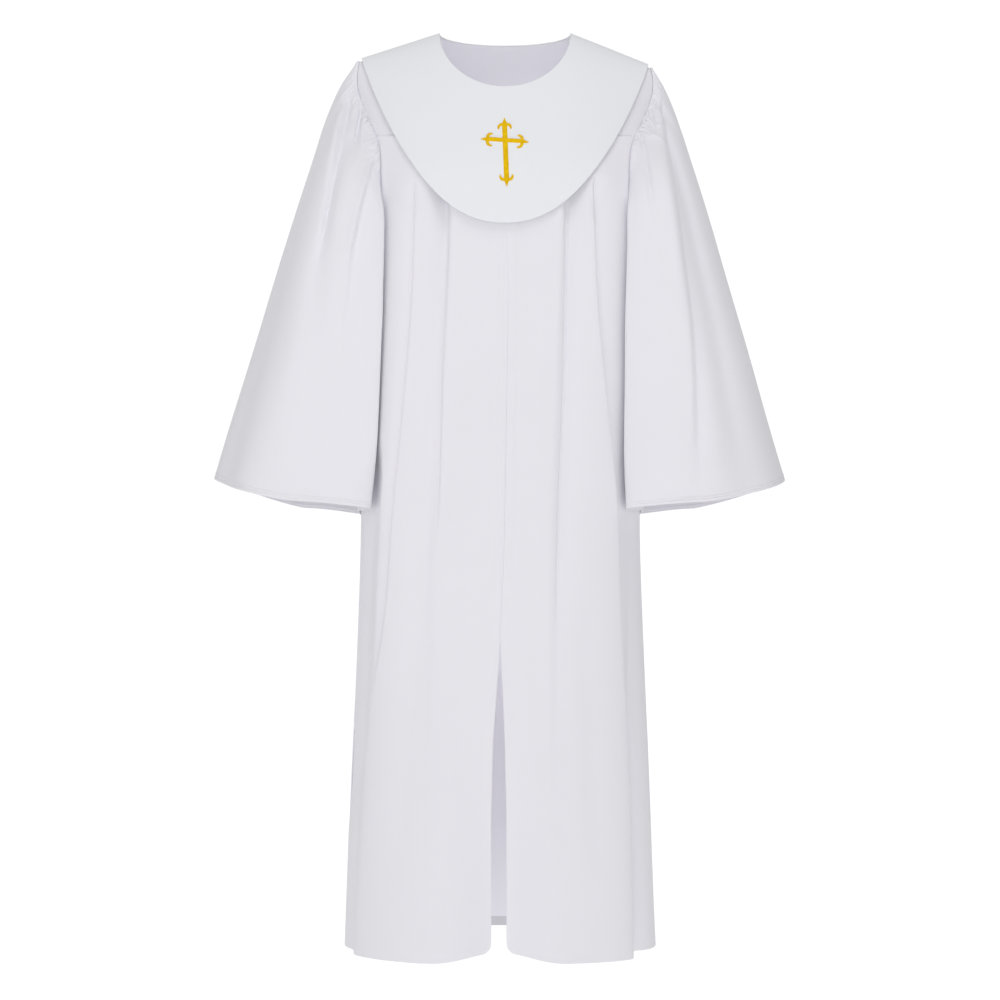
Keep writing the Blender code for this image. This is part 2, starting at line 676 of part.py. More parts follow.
def cross(under, look):
    """The cross, laid on the outer face of the collar."""
    tree = BVHTree.FromObject(under, bpy.context.evaluated_depsgraph_get())
    flat = [(CROSS_X + x, CROSS_Z + z) for x, z in cross_outline()]
    base = []
    for x, z in flat:
        hit = tree.ray_cast(Vector((x, -1, z)), Vector((0, 1, 0)))[0]
        base.append((x, hit.y - SEAM, z))
    count = len(base)
    flat_faces = tessellate_polygon([[Vector((x, z, 0)) for x, z in flat]])
    front = []
    for a, b, c in flat_faces:
        ax, az = flat[a]
        bx, bz = flat[b]
        cx, cz = flat[c]
        turn = (bx - ax) * (cz - az) - (bz - az) * (cx - ax)
        front.append((a, b, c) if turn > 0 else (c, b, a))
    faces = front + [tuple(count + i for i in reversed(face)) for face in front]
    used = {(face[i], face[(i + 1) % 3]) for face in front for i in range(3)}
    for a, b in sorted(used):
        if (b, a) not in used:
            faces.append((b, a, count + a, count + b))
    top = [(x, y - CROSS_RISE, z) for x, y, z in base]
    closed_body("cross", top + base, faces, look)


def main():
    for made in list(bpy.data.objects):
        bpy.data.objects.remove(made)
    cloth = material("robe_cloth", CLOTH, 0.85)
    stiff = material("collar_cloth", COLLAR_COLOUR, 0.80)
    gold = material("gold_thread", GOLD, 0.45)
    x_axis, y_axis, z_axis = 0, 1, 2
    for side, name in ((-1, "right"), (1, "left")):
        seams = {"top": z_axis, "first": x_axis}
        grid_wall("front_" + name, front_panel(side), cloth, side < 0, {**seams, "last": y_axis})
        parts = side * np.linspace(0, 1, YOKE_COUNT)
        neck = np.argmin(np.abs(np.abs(parts) - NECK_HALF / SHOULDER_HALF))
        parts[neck] = side * NECK_HALF / SHOULDER_HALF
        rows = yoke("front", parts)
        rows[:, 0, 0] += side * SEAM / 2
        grid_wall("yoke_front_" + name, rows, cloth, side < 0, {"top": y_axis, "bottom": z_axis, "first": x_axis})
        points, faces = sleeve(side)
        if side > 0:
            faces = [tuple(reversed(face)) for face in faces]
        wall("sleeve_" + name, points, faces, cloth)
    grid_wall("back", back_panel(), cloth, True, {"top": z_axis, "first": y_axis, "last": y_axis})
    half = np.linspace(0, 1, YOKE_COUNT)
    half[np.argmin(np.abs(half - NECK_HALF / SHOULDER_HALF))] = NECK_HALF / SHOULDER_HALF
    parts = np.concatenate([-half[:0:-1], half])
    grid_wall("yoke_back", yoke("back", parts), cloth, True, {"top": y_axis, "bottom": z_axis})
    points, faces = collar()
    out = np.repeat(np.linspace(0, 1, COLLAR_ROWS), COLLAR_COUNT)
    lift = WALL + COLLAR_LIFT + COLLAR_EDGE_LIFT * out
    made = wall("collar", points, faces, stiff, None, lift)
    bpy.context.view_layer.update()
    cross(made, gold)


main()
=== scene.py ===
import math

import bpy
import numpy as np
from bpy.props import FloatProperty, FloatVectorProperty, IntProperty, PointerProperty
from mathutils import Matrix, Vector
from mathutils.bvhtree import BVHTree


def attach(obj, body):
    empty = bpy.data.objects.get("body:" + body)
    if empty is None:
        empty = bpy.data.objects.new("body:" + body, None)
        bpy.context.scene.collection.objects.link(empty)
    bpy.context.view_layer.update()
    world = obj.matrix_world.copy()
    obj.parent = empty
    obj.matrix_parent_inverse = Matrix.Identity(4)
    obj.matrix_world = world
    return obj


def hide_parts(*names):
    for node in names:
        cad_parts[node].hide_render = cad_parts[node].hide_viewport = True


bl_info = {
    "name": "Clergy robe",
    "version": (1, 0, 0),
    "blender": (4, 5, 0),
    "location": "View3D > Sidebar > Robe",
    "description": "Builds a pleated robe with gathered bell sleeves and an overlay collar with a gold cross",
    "category": "Add Mesh",
}

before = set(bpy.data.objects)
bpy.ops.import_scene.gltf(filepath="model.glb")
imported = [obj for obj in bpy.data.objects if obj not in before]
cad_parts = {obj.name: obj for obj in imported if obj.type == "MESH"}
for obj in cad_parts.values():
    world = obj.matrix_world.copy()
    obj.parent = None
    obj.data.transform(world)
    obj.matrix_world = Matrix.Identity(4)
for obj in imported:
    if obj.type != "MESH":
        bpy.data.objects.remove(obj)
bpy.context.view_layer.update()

# Sizes in metres, from the origin between the shoulder points by the neck
YOKE_Z = -0.155
UNDERARM_Z = -0.290
HEM_Z = -1.315
PLEAT_START = 0.090
HEM_CORNER = 0.014
HEM_RISE = 0.009
HEM_RISE_WIDTH = 0.085
HEM_RISE_HEIGHT = 0.06
BODY_HEM = 0.015
NECK_HALF = 0.094
NECK_DROP = {"front": 0.088, "back": 0.010}
CREST = 0.012
SHOULDER_HALF = 0.210
SHOULDER_DROP = {-1: 0.039, 1: 0.048}
CHEST_DROP = {"front": 0.220, "back": 0.160}
CHEST_ROUND = {"front": 1.6, "back": 1.8}
SIDES = ((-1, "right"), (1, "left"))

# Soft rolls of cloth beside the seams, each with its height and its width
SEAM_ROLL = (0.0012, 0.004)
CENTRE_ROLL = (0.0005, 0.002)
HEAD_ROLL = (0.0016, 0.006)

# Faint unevenness of the body's cloth: its height, how far below the yoke it is full, and its two waves
WANDER = 0.0008
WANDER_START = 0.2
WANDER_WAVES = ((9.0, 7.3, 0.0), (31.0, -4.1, 1.0))

# Rows and columns of points. Crowding has a weight and a width, and a crisp crease is one with a narrow side
RING_STEPS = 361
RUN_STEP = 0.002
FINE_STEPS = 1600
FOLD_CROWD = (1.0, 0.022)
CRISP_CROWD = (5.0, 0.0040)
CRISP_WIDTH = 0.004
CRISP_REACH = 0.12
NEAR_EDGE = 0.9
EDGE_COLUMNS = 45
SEAM_BAND = 0.016
SEAM_ROWS = 9
HEM_ROWS = 12
HEM_MARGIN = 0.004
ROW_GAP = 0.002
PANEL_CROWD = 1.08
FRONT_GRID = (170, 170)
BACK_GRID = (140, 260)
YOKE_COLUMNS = 45
YOKE_ROWS = 30
YOKE_CROWD = 2.2
SHARP_ANGLE = 55

# Cross sections of the body, from the shoulders to the hem
BODY_COLUMNS = ("z", "half_width", "front_depth", "back_depth", "squareness", "centre_x")
BODY = (
    (0.020, 0.2210, 0.104, 0.100, 3.0, 0.000),
    (-0.155, 0.2150, 0.122, 0.112, 3.0, 0.000),
    (-0.290, 0.2070, 0.148, 0.126, 3.1, -0.001),
    (-0.500, 0.2030, 0.160, 0.136, 2.9, -0.005),
    (-0.690, 0.2022, 0.166, 0.142, 2.6, -0.007),
    (-0.900, 0.2080, 0.172, 0.146, 2.4, -0.007),
    (-1.100, 0.2165, 0.183, 0.149, 2.4, -0.007),
    (-1.315, 0.2250, 0.193, 0.150, 2.4, -0.007),
)

# Armhole edge from the shoulder tip, drop 0, to the underarm, drop 1
ARMHOLE_COLUMNS = ("drop", "front_x", "back_x")
ARMHOLE = (
    (0.00, 0.2100, 0.2100),
    (0.08, 0.2130, 0.2130),
    (0.17, 0.2115, 0.2115),
    (0.30, 0.2010, 0.2010),
    (0.50, 0.1800, 0.1870),
    (0.68, 0.1765, 0.1880),
    (0.84, 0.1810, 0.1970),
    (1.00, 0.2150, 0.2150),
)

# Line where the two fronts meet, and how far each stands off it in the slit
CENTRE_COLUMNS = ("z", "x", "half_gap")
CENTRE = (
    (-0.088, 0.0010, 0.00015),
    (-0.155, 0.0020, 0.00015),
    (-0.420, 0.0040, 0.00015),
    (-0.740, -0.0017, 0.00015),
    (-0.872, -0.0070, 0.00040),
    (-0.930, -0.0075, 0.0038),
    (-1.010, -0.0088, 0.0084),
    (-1.120, -0.0090, 0.0110),
    (-1.315, -0.0090, 0.0112),
)

# Folds of the body, each with its place, how far it stands out and how it widens, at three heights
FOLD_HEIGHTS = (-0.250, -0.750, -1.300)
FOLD_COLUMNS = (
    "face", "side", "x_chest", "x_hip", "x_hem", "out_chest", "out_hip", "out_hem", "width_in", "width_out",
)
FOLDS = (
    ("front", -1, 0.130, 0.158, 0.200, 0.003, 0.009, 0.005, 0.045, 0.026),
    ("front", -1, 0.084, 0.103, 0.110, -0.010, -0.004, 0.000, 0.009, 0.022),
    ("front", -1, 0.172, 0.190, 0.215, -0.003, -0.006, -0.008, 0.020, 0.030),
    ("front", -1, 0.030, 0.040, 0.009, 0.000, 0.000, -0.024, 0.052, 0.052),
    ("front", 1, 0.0935, 0.083, 0.081, -0.010, -0.0055, 0.000, 0.009, 0.024),
    ("front", 1, 0.130, 0.164, 0.176, 0.003, 0.007, 0.010, 0.045, 0.020),
    ("front", 1, 0.168, 0.190, 0.201, -0.002, -0.004, -0.030, 0.018, 0.036),
    ("front", 1, 0.030, 0.040, 0.009, 0.000, 0.000, -0.024, 0.052, 0.052),
    ("back", -1, 0.038, 0.045, 0.052, -0.009, -0.012, -0.015, 0.018, 0.016),
    ("back", -1, 0.082, 0.096, 0.108, 0.002, 0.007, 0.009, 0.022, 0.020),
    ("back", -1, 0.118, 0.136, 0.150, -0.007, -0.010, -0.013, 0.016, 0.020),
    ("back", -1, 0.160, 0.180, 0.198, 0.002, 0.005, 0.006, 0.020, 0.024),
    ("back", 1, 0.034, 0.048, 0.058, -0.009, -0.011, -0.016, 0.016, 0.018),
    ("back", 1, 0.078, 0.090, 0.104, 0.002, 0.006, 0.008, 0.020, 0.022),
    ("back", 1, 0.114, 0.132, 0.152, -0.007, -0.011, -0.012, 0.018, 0.018),
    ("back", 1, 0.158, 0.182, 0.196, 0.002, 0.005, 0.007, 0.020, 0.024),
)

# Creases, each down a curve through points seen from the front or the back. The width differs to each side of
# the line, so a narrow side makes a crisp edge. Above and below are the lengths over which it comes and goes.
CREASE_COLUMNS = ("piece", "out", "left", "right", "above", "below", "path")
CREASES = (
    ("front", -0.0041, 0.0100, 0.0022, 0.03, 0.16,
        ((-0.1285, -0.249), (-0.1327, -0.394), (-0.1438, -0.547), (-0.155, -0.673), (-0.1675, -0.84),
         (-0.1884, -0.979))),
    ("front", -0.0068, 0.0220, 0.0030, 0.06, 0.12,
        ((-0.1747, -0.645), (-0.1803, -0.757), (-0.1845, -0.868), (-0.1957, -1.008), (-0.218, -1.161))),
    ("front", -0.0059, 0.0110, 0.0022, 0.03, 0.14,
        ((-0.0811, -0.249), (-0.0825, -0.338), (-0.0895, -0.492), (-0.0909, -0.589), (-0.0978, -0.756))),
    ("front", 0.0014, 0.0030, 0.0090, 0.03, 0.16,
        ((-0.0742, -0.249), (-0.0769, -0.338), (-0.0853, -0.533), (-0.0909, -0.701))),
    ("front", -0.0059, 0.0022, 0.0090, 0.03, 0.16,
        ((0.0861, -0.249), (0.0833, -0.506), (0.0764, -0.673), (0.0722, -0.868))),
    ("front", 0.0014, 0.0090, 0.0030, 0.03, 0.16,
        ((0.0792, -0.249), (0.0792, -0.394), (0.0764, -0.533), (0.0708, -0.701))),
    ("front", -0.0073, 0.0026, 0.0220, 0.02, 0.01,
        ((0.1267, -0.235), (0.1323, -0.394), (0.1449, -0.533), (0.1574, -0.673), (0.163, -0.84),
         (0.1728, -1.036), (0.1798, -1.231), (0.1798, -1.343))),
    ("front", 0.0009, 0.0030, 0.0030, 0.02, 0.14,
        ((-0.0073, -0.261), (-0.0059, -0.422), (-0.0073, -0.589), (-0.01, -0.757), (-0.0142, -0.868))),
    ("front", 0.0009, 0.0030, 0.0030, 0.02, 0.14,
        ((0.0123, -0.261), (0.0137, -0.422), (0.0109, -0.589), (0.0067, -0.757), (0.0011, -0.868))),
    ("front", -0.0016, 0.0160, 0.0160, 0.1, 0.14,
        ((-0.038, -0.757), (-0.0463, -0.952), (-0.0519, -1.147))),
    ("front", -0.0015, 0.0180, 0.0180, 0.1, 0.14,
        ((0.0402, -0.757), (0.0486, -0.952), (0.0542, -1.161))),
    ("front", -0.0018, 0.0150, 0.0130, 0.1, 0.12,
        ((-0.1301, -0.896), (-0.1412, -1.064), (-0.1496, -1.231))),
    ("front", -0.0018, 0.0140, 0.0160, 0.1, 0.12,
        ((0.1128, -0.868), (0.1211, -1.064), (0.1239, -1.231))),
    ("sleeve_right", -0.0060, 0.0032, 0.0070, 0.012, 0.09,
        ((-0.225, -0.105), (-0.232, -0.15), (-0.2391, -0.207), (-0.2462, -0.249), (-0.2589, -0.32), (-0.266, -0.362))),
    ("sleeve_right", 0.0033, 0.0080, 0.0035, 0.02, 0.1,
        ((-0.2349, -0.115), (-0.2419, -0.157), (-0.2504, -0.214), (-0.2646, -0.299), (-0.2759, -0.355))),
    ("sleeve_right", -0.0060, 0.0024, 0.0045, 0.01, 0.05,
        ((-0.2066, -0.106), (-0.2108, -0.15), (-0.2151, -0.207))),
    ("sleeve_right", 0.0027, 0.0030, 0.0050, 0.01, 0.06,
        ((-0.2009, -0.113), (-0.2038, -0.15), (-0.208, -0.207))),
    ("sleeve_right", 0.0039, 0.0070, 0.0040, 0.02, 0.1,
        ((-0.1835, -0.174), (-0.1962, -0.222), (-0.2159, -0.3), (-0.2343, -0.391))),
    ("sleeve_right", -0.0045, 0.0045, 0.0120, 0.03, 0.14,
        ((-0.1873, -0.209), (-0.2013, -0.265), (-0.2182, -0.392), (-0.2239, -0.504))),
    ("sleeve_left", -0.0054, 0.0040, 0.0024, 0.008, 0.012,
        ((0.1997, -0.092), (0.2082, -0.114), (0.2139, -0.155))),
    ("sleeve_left", -0.0069, 0.0026, 0.0045, 0.01, 0.05,
        ((0.1864, -0.142), (0.1949, -0.167), (0.1992, -0.2), (0.2076, -0.272))),
    ("sleeve_left", 0.0024, 0.0060, 0.0060, 0.03, 0.1,
        ((0.1775, -0.18), (0.1845, -0.215), (0.1958, -0.349))),
    ("sleeve_left", -0.0069, 0.0032, 0.0170, 0.05, 0.1,
        ((0.2282, -0.115), (0.2353, -0.18), (0.2536, -0.338), (0.2649, -0.441), (0.2691, -0.575), (0.2677, -0.68))),
    ("sleeve_left", 0.0030, 0.0100, 0.0050, 0.04, 0.16,
        ((0.2195, -0.138), (0.2279, -0.208), (0.2462, -0.363), (0.2547, -0.462))),
    ("back", 0.0018, 0.02, 0.02, 0.08, 0.35, ((0.002, -0.2), (0.007, -0.65), (0.0, -1.1))),
    ("back", -0.0036, 0.0024, 0.011, 0.03, 0.25, ((-0.06, -0.12), (-0.068, -0.41), (-0.064, -0.7))),
    ("back", -0.0036, 0.011, 0.0024, 0.03, 0.25, ((0.056, -0.12), (0.065, -0.44), (0.062, -0.76))),
    ("back", 0.002, 0.013, 0.013, 0.1, 0.25, ((-0.1, -0.3), (-0.116, -0.6), (-0.12, -0.9))),
    ("back", 0.0021, 0.012, 0.012, 0.1, 0.25, ((0.098, -0.28), (0.112, -0.57), (0.114, -0.86))),
    ("back", -0.0038, 0.0024, 0.013, 0.03, 0.3, ((-0.124, -0.12), (-0.144, -0.47), (-0.152, -0.82))),
    ("back", -0.0038, 0.013, 0.0024, 0.03, 0.3, ((0.12, -0.12), (0.141, -0.5), (0.15, -0.88))),
    ("back", 0.0022, 0.015, 0.015, 0.14, 0.2, ((-0.024, -0.7), (-0.033, -0.975), (-0.03, -1.25))),
    ("back", 0.002, 0.016, 0.016, 0.14, 0.2, ((0.03, -0.64), (0.038, -0.95), (0.034, -1.26))),
)

# Sections of each sleeve from the armhole, at 0, to the hem, at 1
SLEEVE_COLUMNS = ("along", "outer_x", "outer_z", "inner_x", "inner_z", "front_y", "back_y", "wrap")
SLEEVE_SECTIONS = {
    -1: (
        (0.00, 0.2100, -0.040, 0.2100, -0.290, 0.080, 0.080, 0.000),
        (0.06, 0.2330, -0.068, 0.2070, -0.300, 0.100, 0.094, 0.018),
        (0.14, 0.2540, -0.110, 0.2030, -0.318, 0.120, 0.106, 0.034),
        (0.28, 0.2800, -0.186, 0.1950, -0.355, 0.132, 0.114, 0.050),
        (0.46, 0.3140, -0.295, 0.1870, -0.425, 0.137, 0.118, 0.051),
        (0.64, 0.3500, -0.410, 0.1850, -0.505, 0.136, 0.118, 0.050),
        (0.82, 0.3850, -0.526, 0.1890, -0.596, 0.134, 0.116, 0.052),
        (1.00, 0.4205, -0.642, 0.1960, -0.687, 0.128, 0.114, 0.038),
    ),
    1: (
        (0.00, 0.2100, -0.049, 0.2100, -0.290, 0.080, 0.080, 0.000),
        (0.06, 0.2290, -0.076, 0.2070, -0.300, 0.100, 0.094, 0.018),
        (0.14, 0.2480, -0.118, 0.2030, -0.318, 0.120, 0.106, 0.034),
        (0.28, 0.2720, -0.195, 0.1940, -0.355, 0.132, 0.114, 0.046),
        (0.46, 0.3060, -0.302, 0.1860, -0.425, 0.137, 0.118, 0.046),
        (0.64, 0.3420, -0.424, 0.1810, -0.505, 0.137, 0.118, 0.049),
        (0.82, 0.3740, -0.538, 0.1790, -0.596, 0.136, 0.116, 0.052),
        (1.00, 0.4060, -0.644, 0.1800, -0.687, 0.134, 0.114, 0.046),
    ),
}
SLEEVE_CLEAR = 0.0035
SLEEVE_SQUARE = 0.5
HEM_SAG = {"front": 0.010, "back": 0.024}
SLEEVE_HEM = 0.0045
SLEEVE_RUN = 0.62
SLEEVE_HEAD_END = 0.34
SLEEVE_GRID = (110, 440)
BACK_SAG_SKEW = (0.95, 0.40)
WRAP_TURN = 0.94
WRAP_WIDTH = 0.55
LOOP_STEPS = 180
LOOP_POINTS = 400
FOLD_START = 0.12
CREASE_START = 0.006
CREASE_COMES = 0.2
CREASE_GOES = 0.5
FRONT_EASE = 0.12
HEM_GROOVE = (0.0005, 0.0009)
SLEEVE_WANDER = 0.0012
SLEEVE_WANDER_START = 0.3

# How the sleeves are kept off the side of the body
OFF_START = 0.1
OFF_CHEST_X = 0.19
OFF_CHEST_ROUND = 1.7
OFF_SOFTNESS = 0.004
LEAST_SOFTNESS = 0.0001

# Rows and columns of a sleeve: the weights of the columns, and the share and rows of its head and hem
TURN_STEPS = 2000
COLUMN_WEIGHTS = (0.6, 1.9, 0.9)
CAP_FRONT_END = 1.9
CAP_BACK_START = 4.4
CAP_BLEND = 0.5
HEAD_SHARE = 0.07
HEAD_ROWS = 30
SLEEVE_HEM_SHARE = 0.016
SLEEVE_HEM_ROWS = 13

# Gathers of the sleeve heads: broad ones, and small ridges whose sizes are drawn between two values
GATHER_SHARE = 0.25
GATHER_START = (0.008, 0.045)
GATHER_RUN = 0.11
RIDGE_SEED = 11
RIDGE_GAPS = (0.6, 1.4)
RIDGE_HEIGHTS = (0.35, 1.0)
RIDGE_LENGTHS = (0.009, 0.020)
LONG_RIDGE_EVERY = 4
LONG_RIDGE = 2.2
RIDGE_BENDS = 24
RIDGE_DRIFT = 1.8
RIDGE_WAVE = (0.035, 90.0)
RIDGE_ROUND = 0.7
RIDGE_AT_SEAM = 0.35
RIDGE_RISE_RUN = 0.005
RIDGE_CAP_END = 1.95
RIDGE_UNDER_CAP = 0.12

# Folds of each sleeve, by the angle round it from the outer edge, front at 90 degrees
SLEEVE_FOLD_COLUMNS = ("side", "turn_head", "turn_hem", "out_head", "out_middle", "out_hem", "width")
SLEEVE_FOLDS = (
    (-1, 62, 96, -0.006, -0.010, 0.000, 12),
    (-1, 104, 62, 0.004, 0.006, 0.004, 20),
    (-1, 30, 34, -0.002, -0.004, -0.005, 14),
    (-1, 236, 244, -0.006, -0.009, -0.008, 16),
    (-1, 288, 300, -0.005, -0.008, -0.007, 15),
    (1, 58, 66, -0.004, -0.011, -0.004, 13),
    (1, 84, 92, 0.004, 0.008, 0.004, 18),
    (1, 128, 118, -0.005, -0.003, -0.003, 14),
    (1, 240, 232, -0.006, -0.009, -0.009, 16),
    (1, 292, 286, -0.005, -0.008, -0.006, 15),
)

# Finer creases at the back of the sleeves, each from one place along and round to another
SLEEVE_CREASE_COLUMNS = ("side", "along_top", "turn_top", "along_foot", "turn_foot", "out", "width")
SLEEVE_CREASES = (
    (-1, 0.02, 262, 0.46, 254, -0.0044, 4.0),
    (-1, 0.02, 236, 0.30, 230, -0.0036, 3.5),
    (-1, 0.02, 288, 0.34, 292, -0.0036, 3.5),
    (-1, 0.24, 278, 0.80, 284, 0.0026, 8.0),
    (1, 0.02, 258, 0.50, 250, -0.0046, 4.0),
    (1, 0.02, 284, 0.32, 290, -0.0036, 3.5),
    (1, 0.02, 232, 0.28, 226, -0.0032, 3.5),
    (1, 0.28, 268, 0.84, 262, 0.0028, 8.0),
)

# Overlay collar
COLLAR_HALF = 0.2065
COLLAR_BOTTOM = {"front": 0.2868, "back": 0.190}
COLLAR_CURVE = {"front": 2.28, "back": 2.6}
COLLAR_CROWD = 0.30
COLLAR_GRID = (34, 240)
COLLAR_FRONT_LIFT = 1.6
COLLAR_FRONT_POWER = 3

# Stitches of the sleeve hems: the share of the pitch that shows, and the arch of a stitch along its length
STITCH_POINTS = 700
STITCH_ROW_GAP = 0.0035
STITCH_BELOW = 0.002
STITCH_SHARE = 0.78
STITCH_COLUMNS = ("part", "height")
STITCH = ((0.0, 0.0), (0.12, 0.7), (0.5, 1.0), (0.88, 0.7), (1.0, 0.0))
STITCH_RISE = 0.6
STITCH_END = 0.35
STITCH_ROUND = 6

# Cross: the lines its thread follows, each point with its place and half its width
CROSS_X = 0.0
CROSS_Z = -0.168
CROSS_STEP = 0.0012
CROSS_LEAST = 8
ARM_COLUMNS = ("lean", "length")
ARMS = ((-2.0, 0.0335), (94.0, 0.0335), (178.0, 0.0665), (274.0, 0.0345))
# The end of a bar, each point with how far it lies back from the tip and half its width
BAR = ((0.0004, 0.0003), (0.0030, 0.0011), (0.0056, 0.0023), (0.0084, 0.0034), (0.0130, 0.0034))
# A hook beside a bar, each point also with how far it lies across
HOOK = (
    (0.0098, 0.0020, 0.0022),
    (0.0098, 0.0046, 0.0021),
    (0.0108, 0.0070, 0.0019),
    (0.0128, 0.0084, 0.0016),
    (0.0150, 0.0087, 0.0012),
    (0.0163, 0.0086, 0.0007),
)

# Woven finishes, each with the colour it takes and its tone, its share of the weave, its roughness and its crinkle
WOVEN_COLUMNS = ("colour", "tone", "weave", "roughness", "crinkle")
WOVEN = {
    "white_polyester": ("colour", 1.0, 1.0, 0.84, 0.16),
    # The hem's finish is a darker copy of the cloth: painted shade for the doubled hem, which lets less light through.
    "turned_up_hem": ("colour", 0.75, 1.0, 0.84, 0.16),
    "stiffened_collar": ("collar_colour", 1.0, 0.8, 0.74, 0.05),
}
WHITE_THREAD = (0.84, 0.84, 0.86)
THREAD_ROUGHNESS = 0.55
THREAD_SPECULAR = 0.02

# The stage: lamps with their place, their aim and their width, and small lights for what the cloth lets through
LAMPS = (
    ("key", (-1.7, -2.9, 0.6), (0.0, 0.0, -0.55), 0.9),
    ("front", (0.0, -4.3, -0.35), (0.0, 0.0, -0.6), 0.7),
    ("top", (0.2, -0.9, 2.0), (0.0, 0.0, -0.2), 1.0),
    ("back", (-1.6, 3.0, 0.9), (0.0, 0.0, -0.6), 1.6),
)
INSIDE_LIGHTS = (("inside_chest", -0.26, 2.45), ("inside_skirt", -0.85, 2.0))
INSIDE_SIZE = 0.05
FLOOR_HALF = 30.0
FLOOR_GLOW = 0.50
PLAIN_WHITE = 1.05
CAMERA_PLACE = (-0.00725, -4.0, -0.638)
CAMERA_SHIFT = -0.025
FRAME_WIDTH = 1.45
SENSOR_WIDTH = 36


class RobeCloth(bpy.types.PropertyGroup):
    wall: FloatProperty(name="Wall", description="Thickness of the cloth", default=0.0013, unit="LENGTH")
    seam: FloatProperty(name="Seam", description="Gap left at each seam", default=0.0003, unit="LENGTH")
    gather: FloatProperty(name="Gather", description="Height of the sleeve gathers", default=0.0036, unit="LENGTH")
    gathers: IntProperty(name="Gathers", description="Broad gathers round each sleeve head", default=18)
    ridge: FloatProperty(name="Ridge", description="Height of the ridges by the seam", default=0.0058, unit="LENGTH")
    ridges: IntProperty(name="Ridges", description="Small ridges round each armhole seam", default=84)
    weave: FloatProperty(name="Weave", description="Width of two threads", default=0.0007, unit="LENGTH")
    colour: FloatVectorProperty(
        name="Colour", description="Colour of the robe's cloth", subtype="COLOR", size=3, default=(0.893, 0.883, 0.93)
    )
    collar_colour: FloatVectorProperty(
        name="Collar colour", description="Colour of the collar's cloth", subtype="COLOR", size=3,
        default=(0.91, 0.925, 0.955),
    )


class RobeCollarSizes(bpy.types.PropertyGroup):
    wall: FloatProperty(name="Wall", description="Thickness of the stiffened collar", default=0.0018, unit="LENGTH")
    lift: FloatProperty(name="Lift", description="Space under the neck edge", default=0.0012, unit="LENGTH")
    edge_lift: FloatProperty(name="Edge lift", description="More space under the rim", default=0.0014, unit="LENGTH")


class RobeThread(bpy.types.PropertyGroup):
    spacing: FloatProperty(name="Spacing", description="Between threads of the cross", default=0.00042, unit="LENGTH")
    rise: FloatProperty(name="Rise", description="Height of the satin stitch", default=0.0011, unit="LENGTH")
    thread: FloatProperty(name="Thread", description="Half the width of a thread", default=0.00031, unit="LENGTH")
    stitch: FloatProperty(name="Stitch", description="Length of a hem stitch", default=0.0026, unit="LENGTH")
    colour: FloatVectorProperty(
        name="Colour", description="Colour of the gold thread", subtype="COLOR", size=3, default=(1.0, 0.64, 0.002)
    )


class RobeLight(bpy.types.PropertyGroup):
    key: FloatProperty(name="Key", description="Power of the light at the upper left", default=7.0)
    front: FloatProperty(name="Front", description="Power of the light by the camera", default=20.8)
    top: FloatProperty(name="Top", description="Power of the light above", default=13.8)
    back: FloatProperty(name="Back", description="Power of the light behind", default=13.0)
    inside: FloatProperty(name="Inside", description="Power of the light that the cloth lets through", default=0.13)
    room: FloatProperty(name="Room", description="Light from all round", default=0.395)
    floor_drop: FloatProperty(name="Floor drop", description="Space below the hem", default=0.35, unit="LENGTH")


def column(table, names, name):
    """One column of a table, by its name."""
    place = names.index(name)
    return np.array([row[place] for row in table])


def rows_of(table, names):
    """The rows of a table, each by the names of its columns."""
    return [dict(zip(names, row)) for row in table]


def smooth_through(keys, values, at):
    """A smooth curve through the values."""
    keys = np.asarray(keys, float)
    values = np.asarray(values, float)
    if keys[0] > keys[-1]:
        keys = keys[::-1]
        values = values[::-1]
    steps = np.diff(values) / np.diff(keys)
    slopes = np.concatenate([steps[:1], (steps[1:] + steps[:-1]) / 2, steps[-1:]])
    at = np.clip(at, keys[0], keys[-1])
    index = np.clip(np.searchsorted(keys, at) - 1, 0, len(keys) - 2)
    span = keys[index + 1] - keys[index]
    part = (at - keys[index]) / span
    low = values[index] * (1 + 2 * part) * (1 - part) ** 2
    high = values[index + 1] * part**2 * (3 - 2 * part)
    bend = part * (1 - part) ** 2 * slopes[index] - part**2 * (1 - part) * slopes[index + 1]
    return low + high + bend * span


def body(name, z):
    """A value of the body's cross section at this height."""
    return smooth_through(column(BODY, BODY_COLUMNS, "z"), column(BODY, BODY_COLUMNS, name), z)


def centre(name, z):
    """A value of the line between the two fronts at this height."""
    keys = column(CENTRE, CENTRE_COLUMNS, "z")
    return np.interp(-z, -keys, column(CENTRE, CENTRE_COLUMNS, name))


def eased(value):
    """From 0 to 1 with a soft start and end."""
    value = np.clip(value, 0, 1)
    return value * value * (3 - 2 * value)


def swell(off, width):
    """Full height on a line, and next to none two widths away from it."""
    return np.exp(-((off / width) ** 2))


def lengths_along(points):
    """Length along a line of points, from its first."""
    return np.concatenate([[0], np.cumsum(np.linalg.norm(np.diff(points, axis=0), axis=1))])


def points_at(at, along, points, axes=3, **settings):
    """Points of a line at these places along it."""
    return np.stack([np.interp(at, along, points[:, axis], **settings) for axis in range(axes)], axis=-1)


def by_weight(fine, weight, count, endpoint=True):
    """Places among the fine ones, closer together where the weight is greater."""
    total = np.concatenate([[0], np.cumsum((weight[1:] + weight[:-1]) / 2)])
    return np.interp(np.linspace(0, total[-1], count, endpoint=endpoint), total, fine)


def linked(name, data):
    """A new object of the scene."""
    made = bpy.data.objects.new(name, data)
    bpy.context.scene.collection.objects.link(made)
    return made


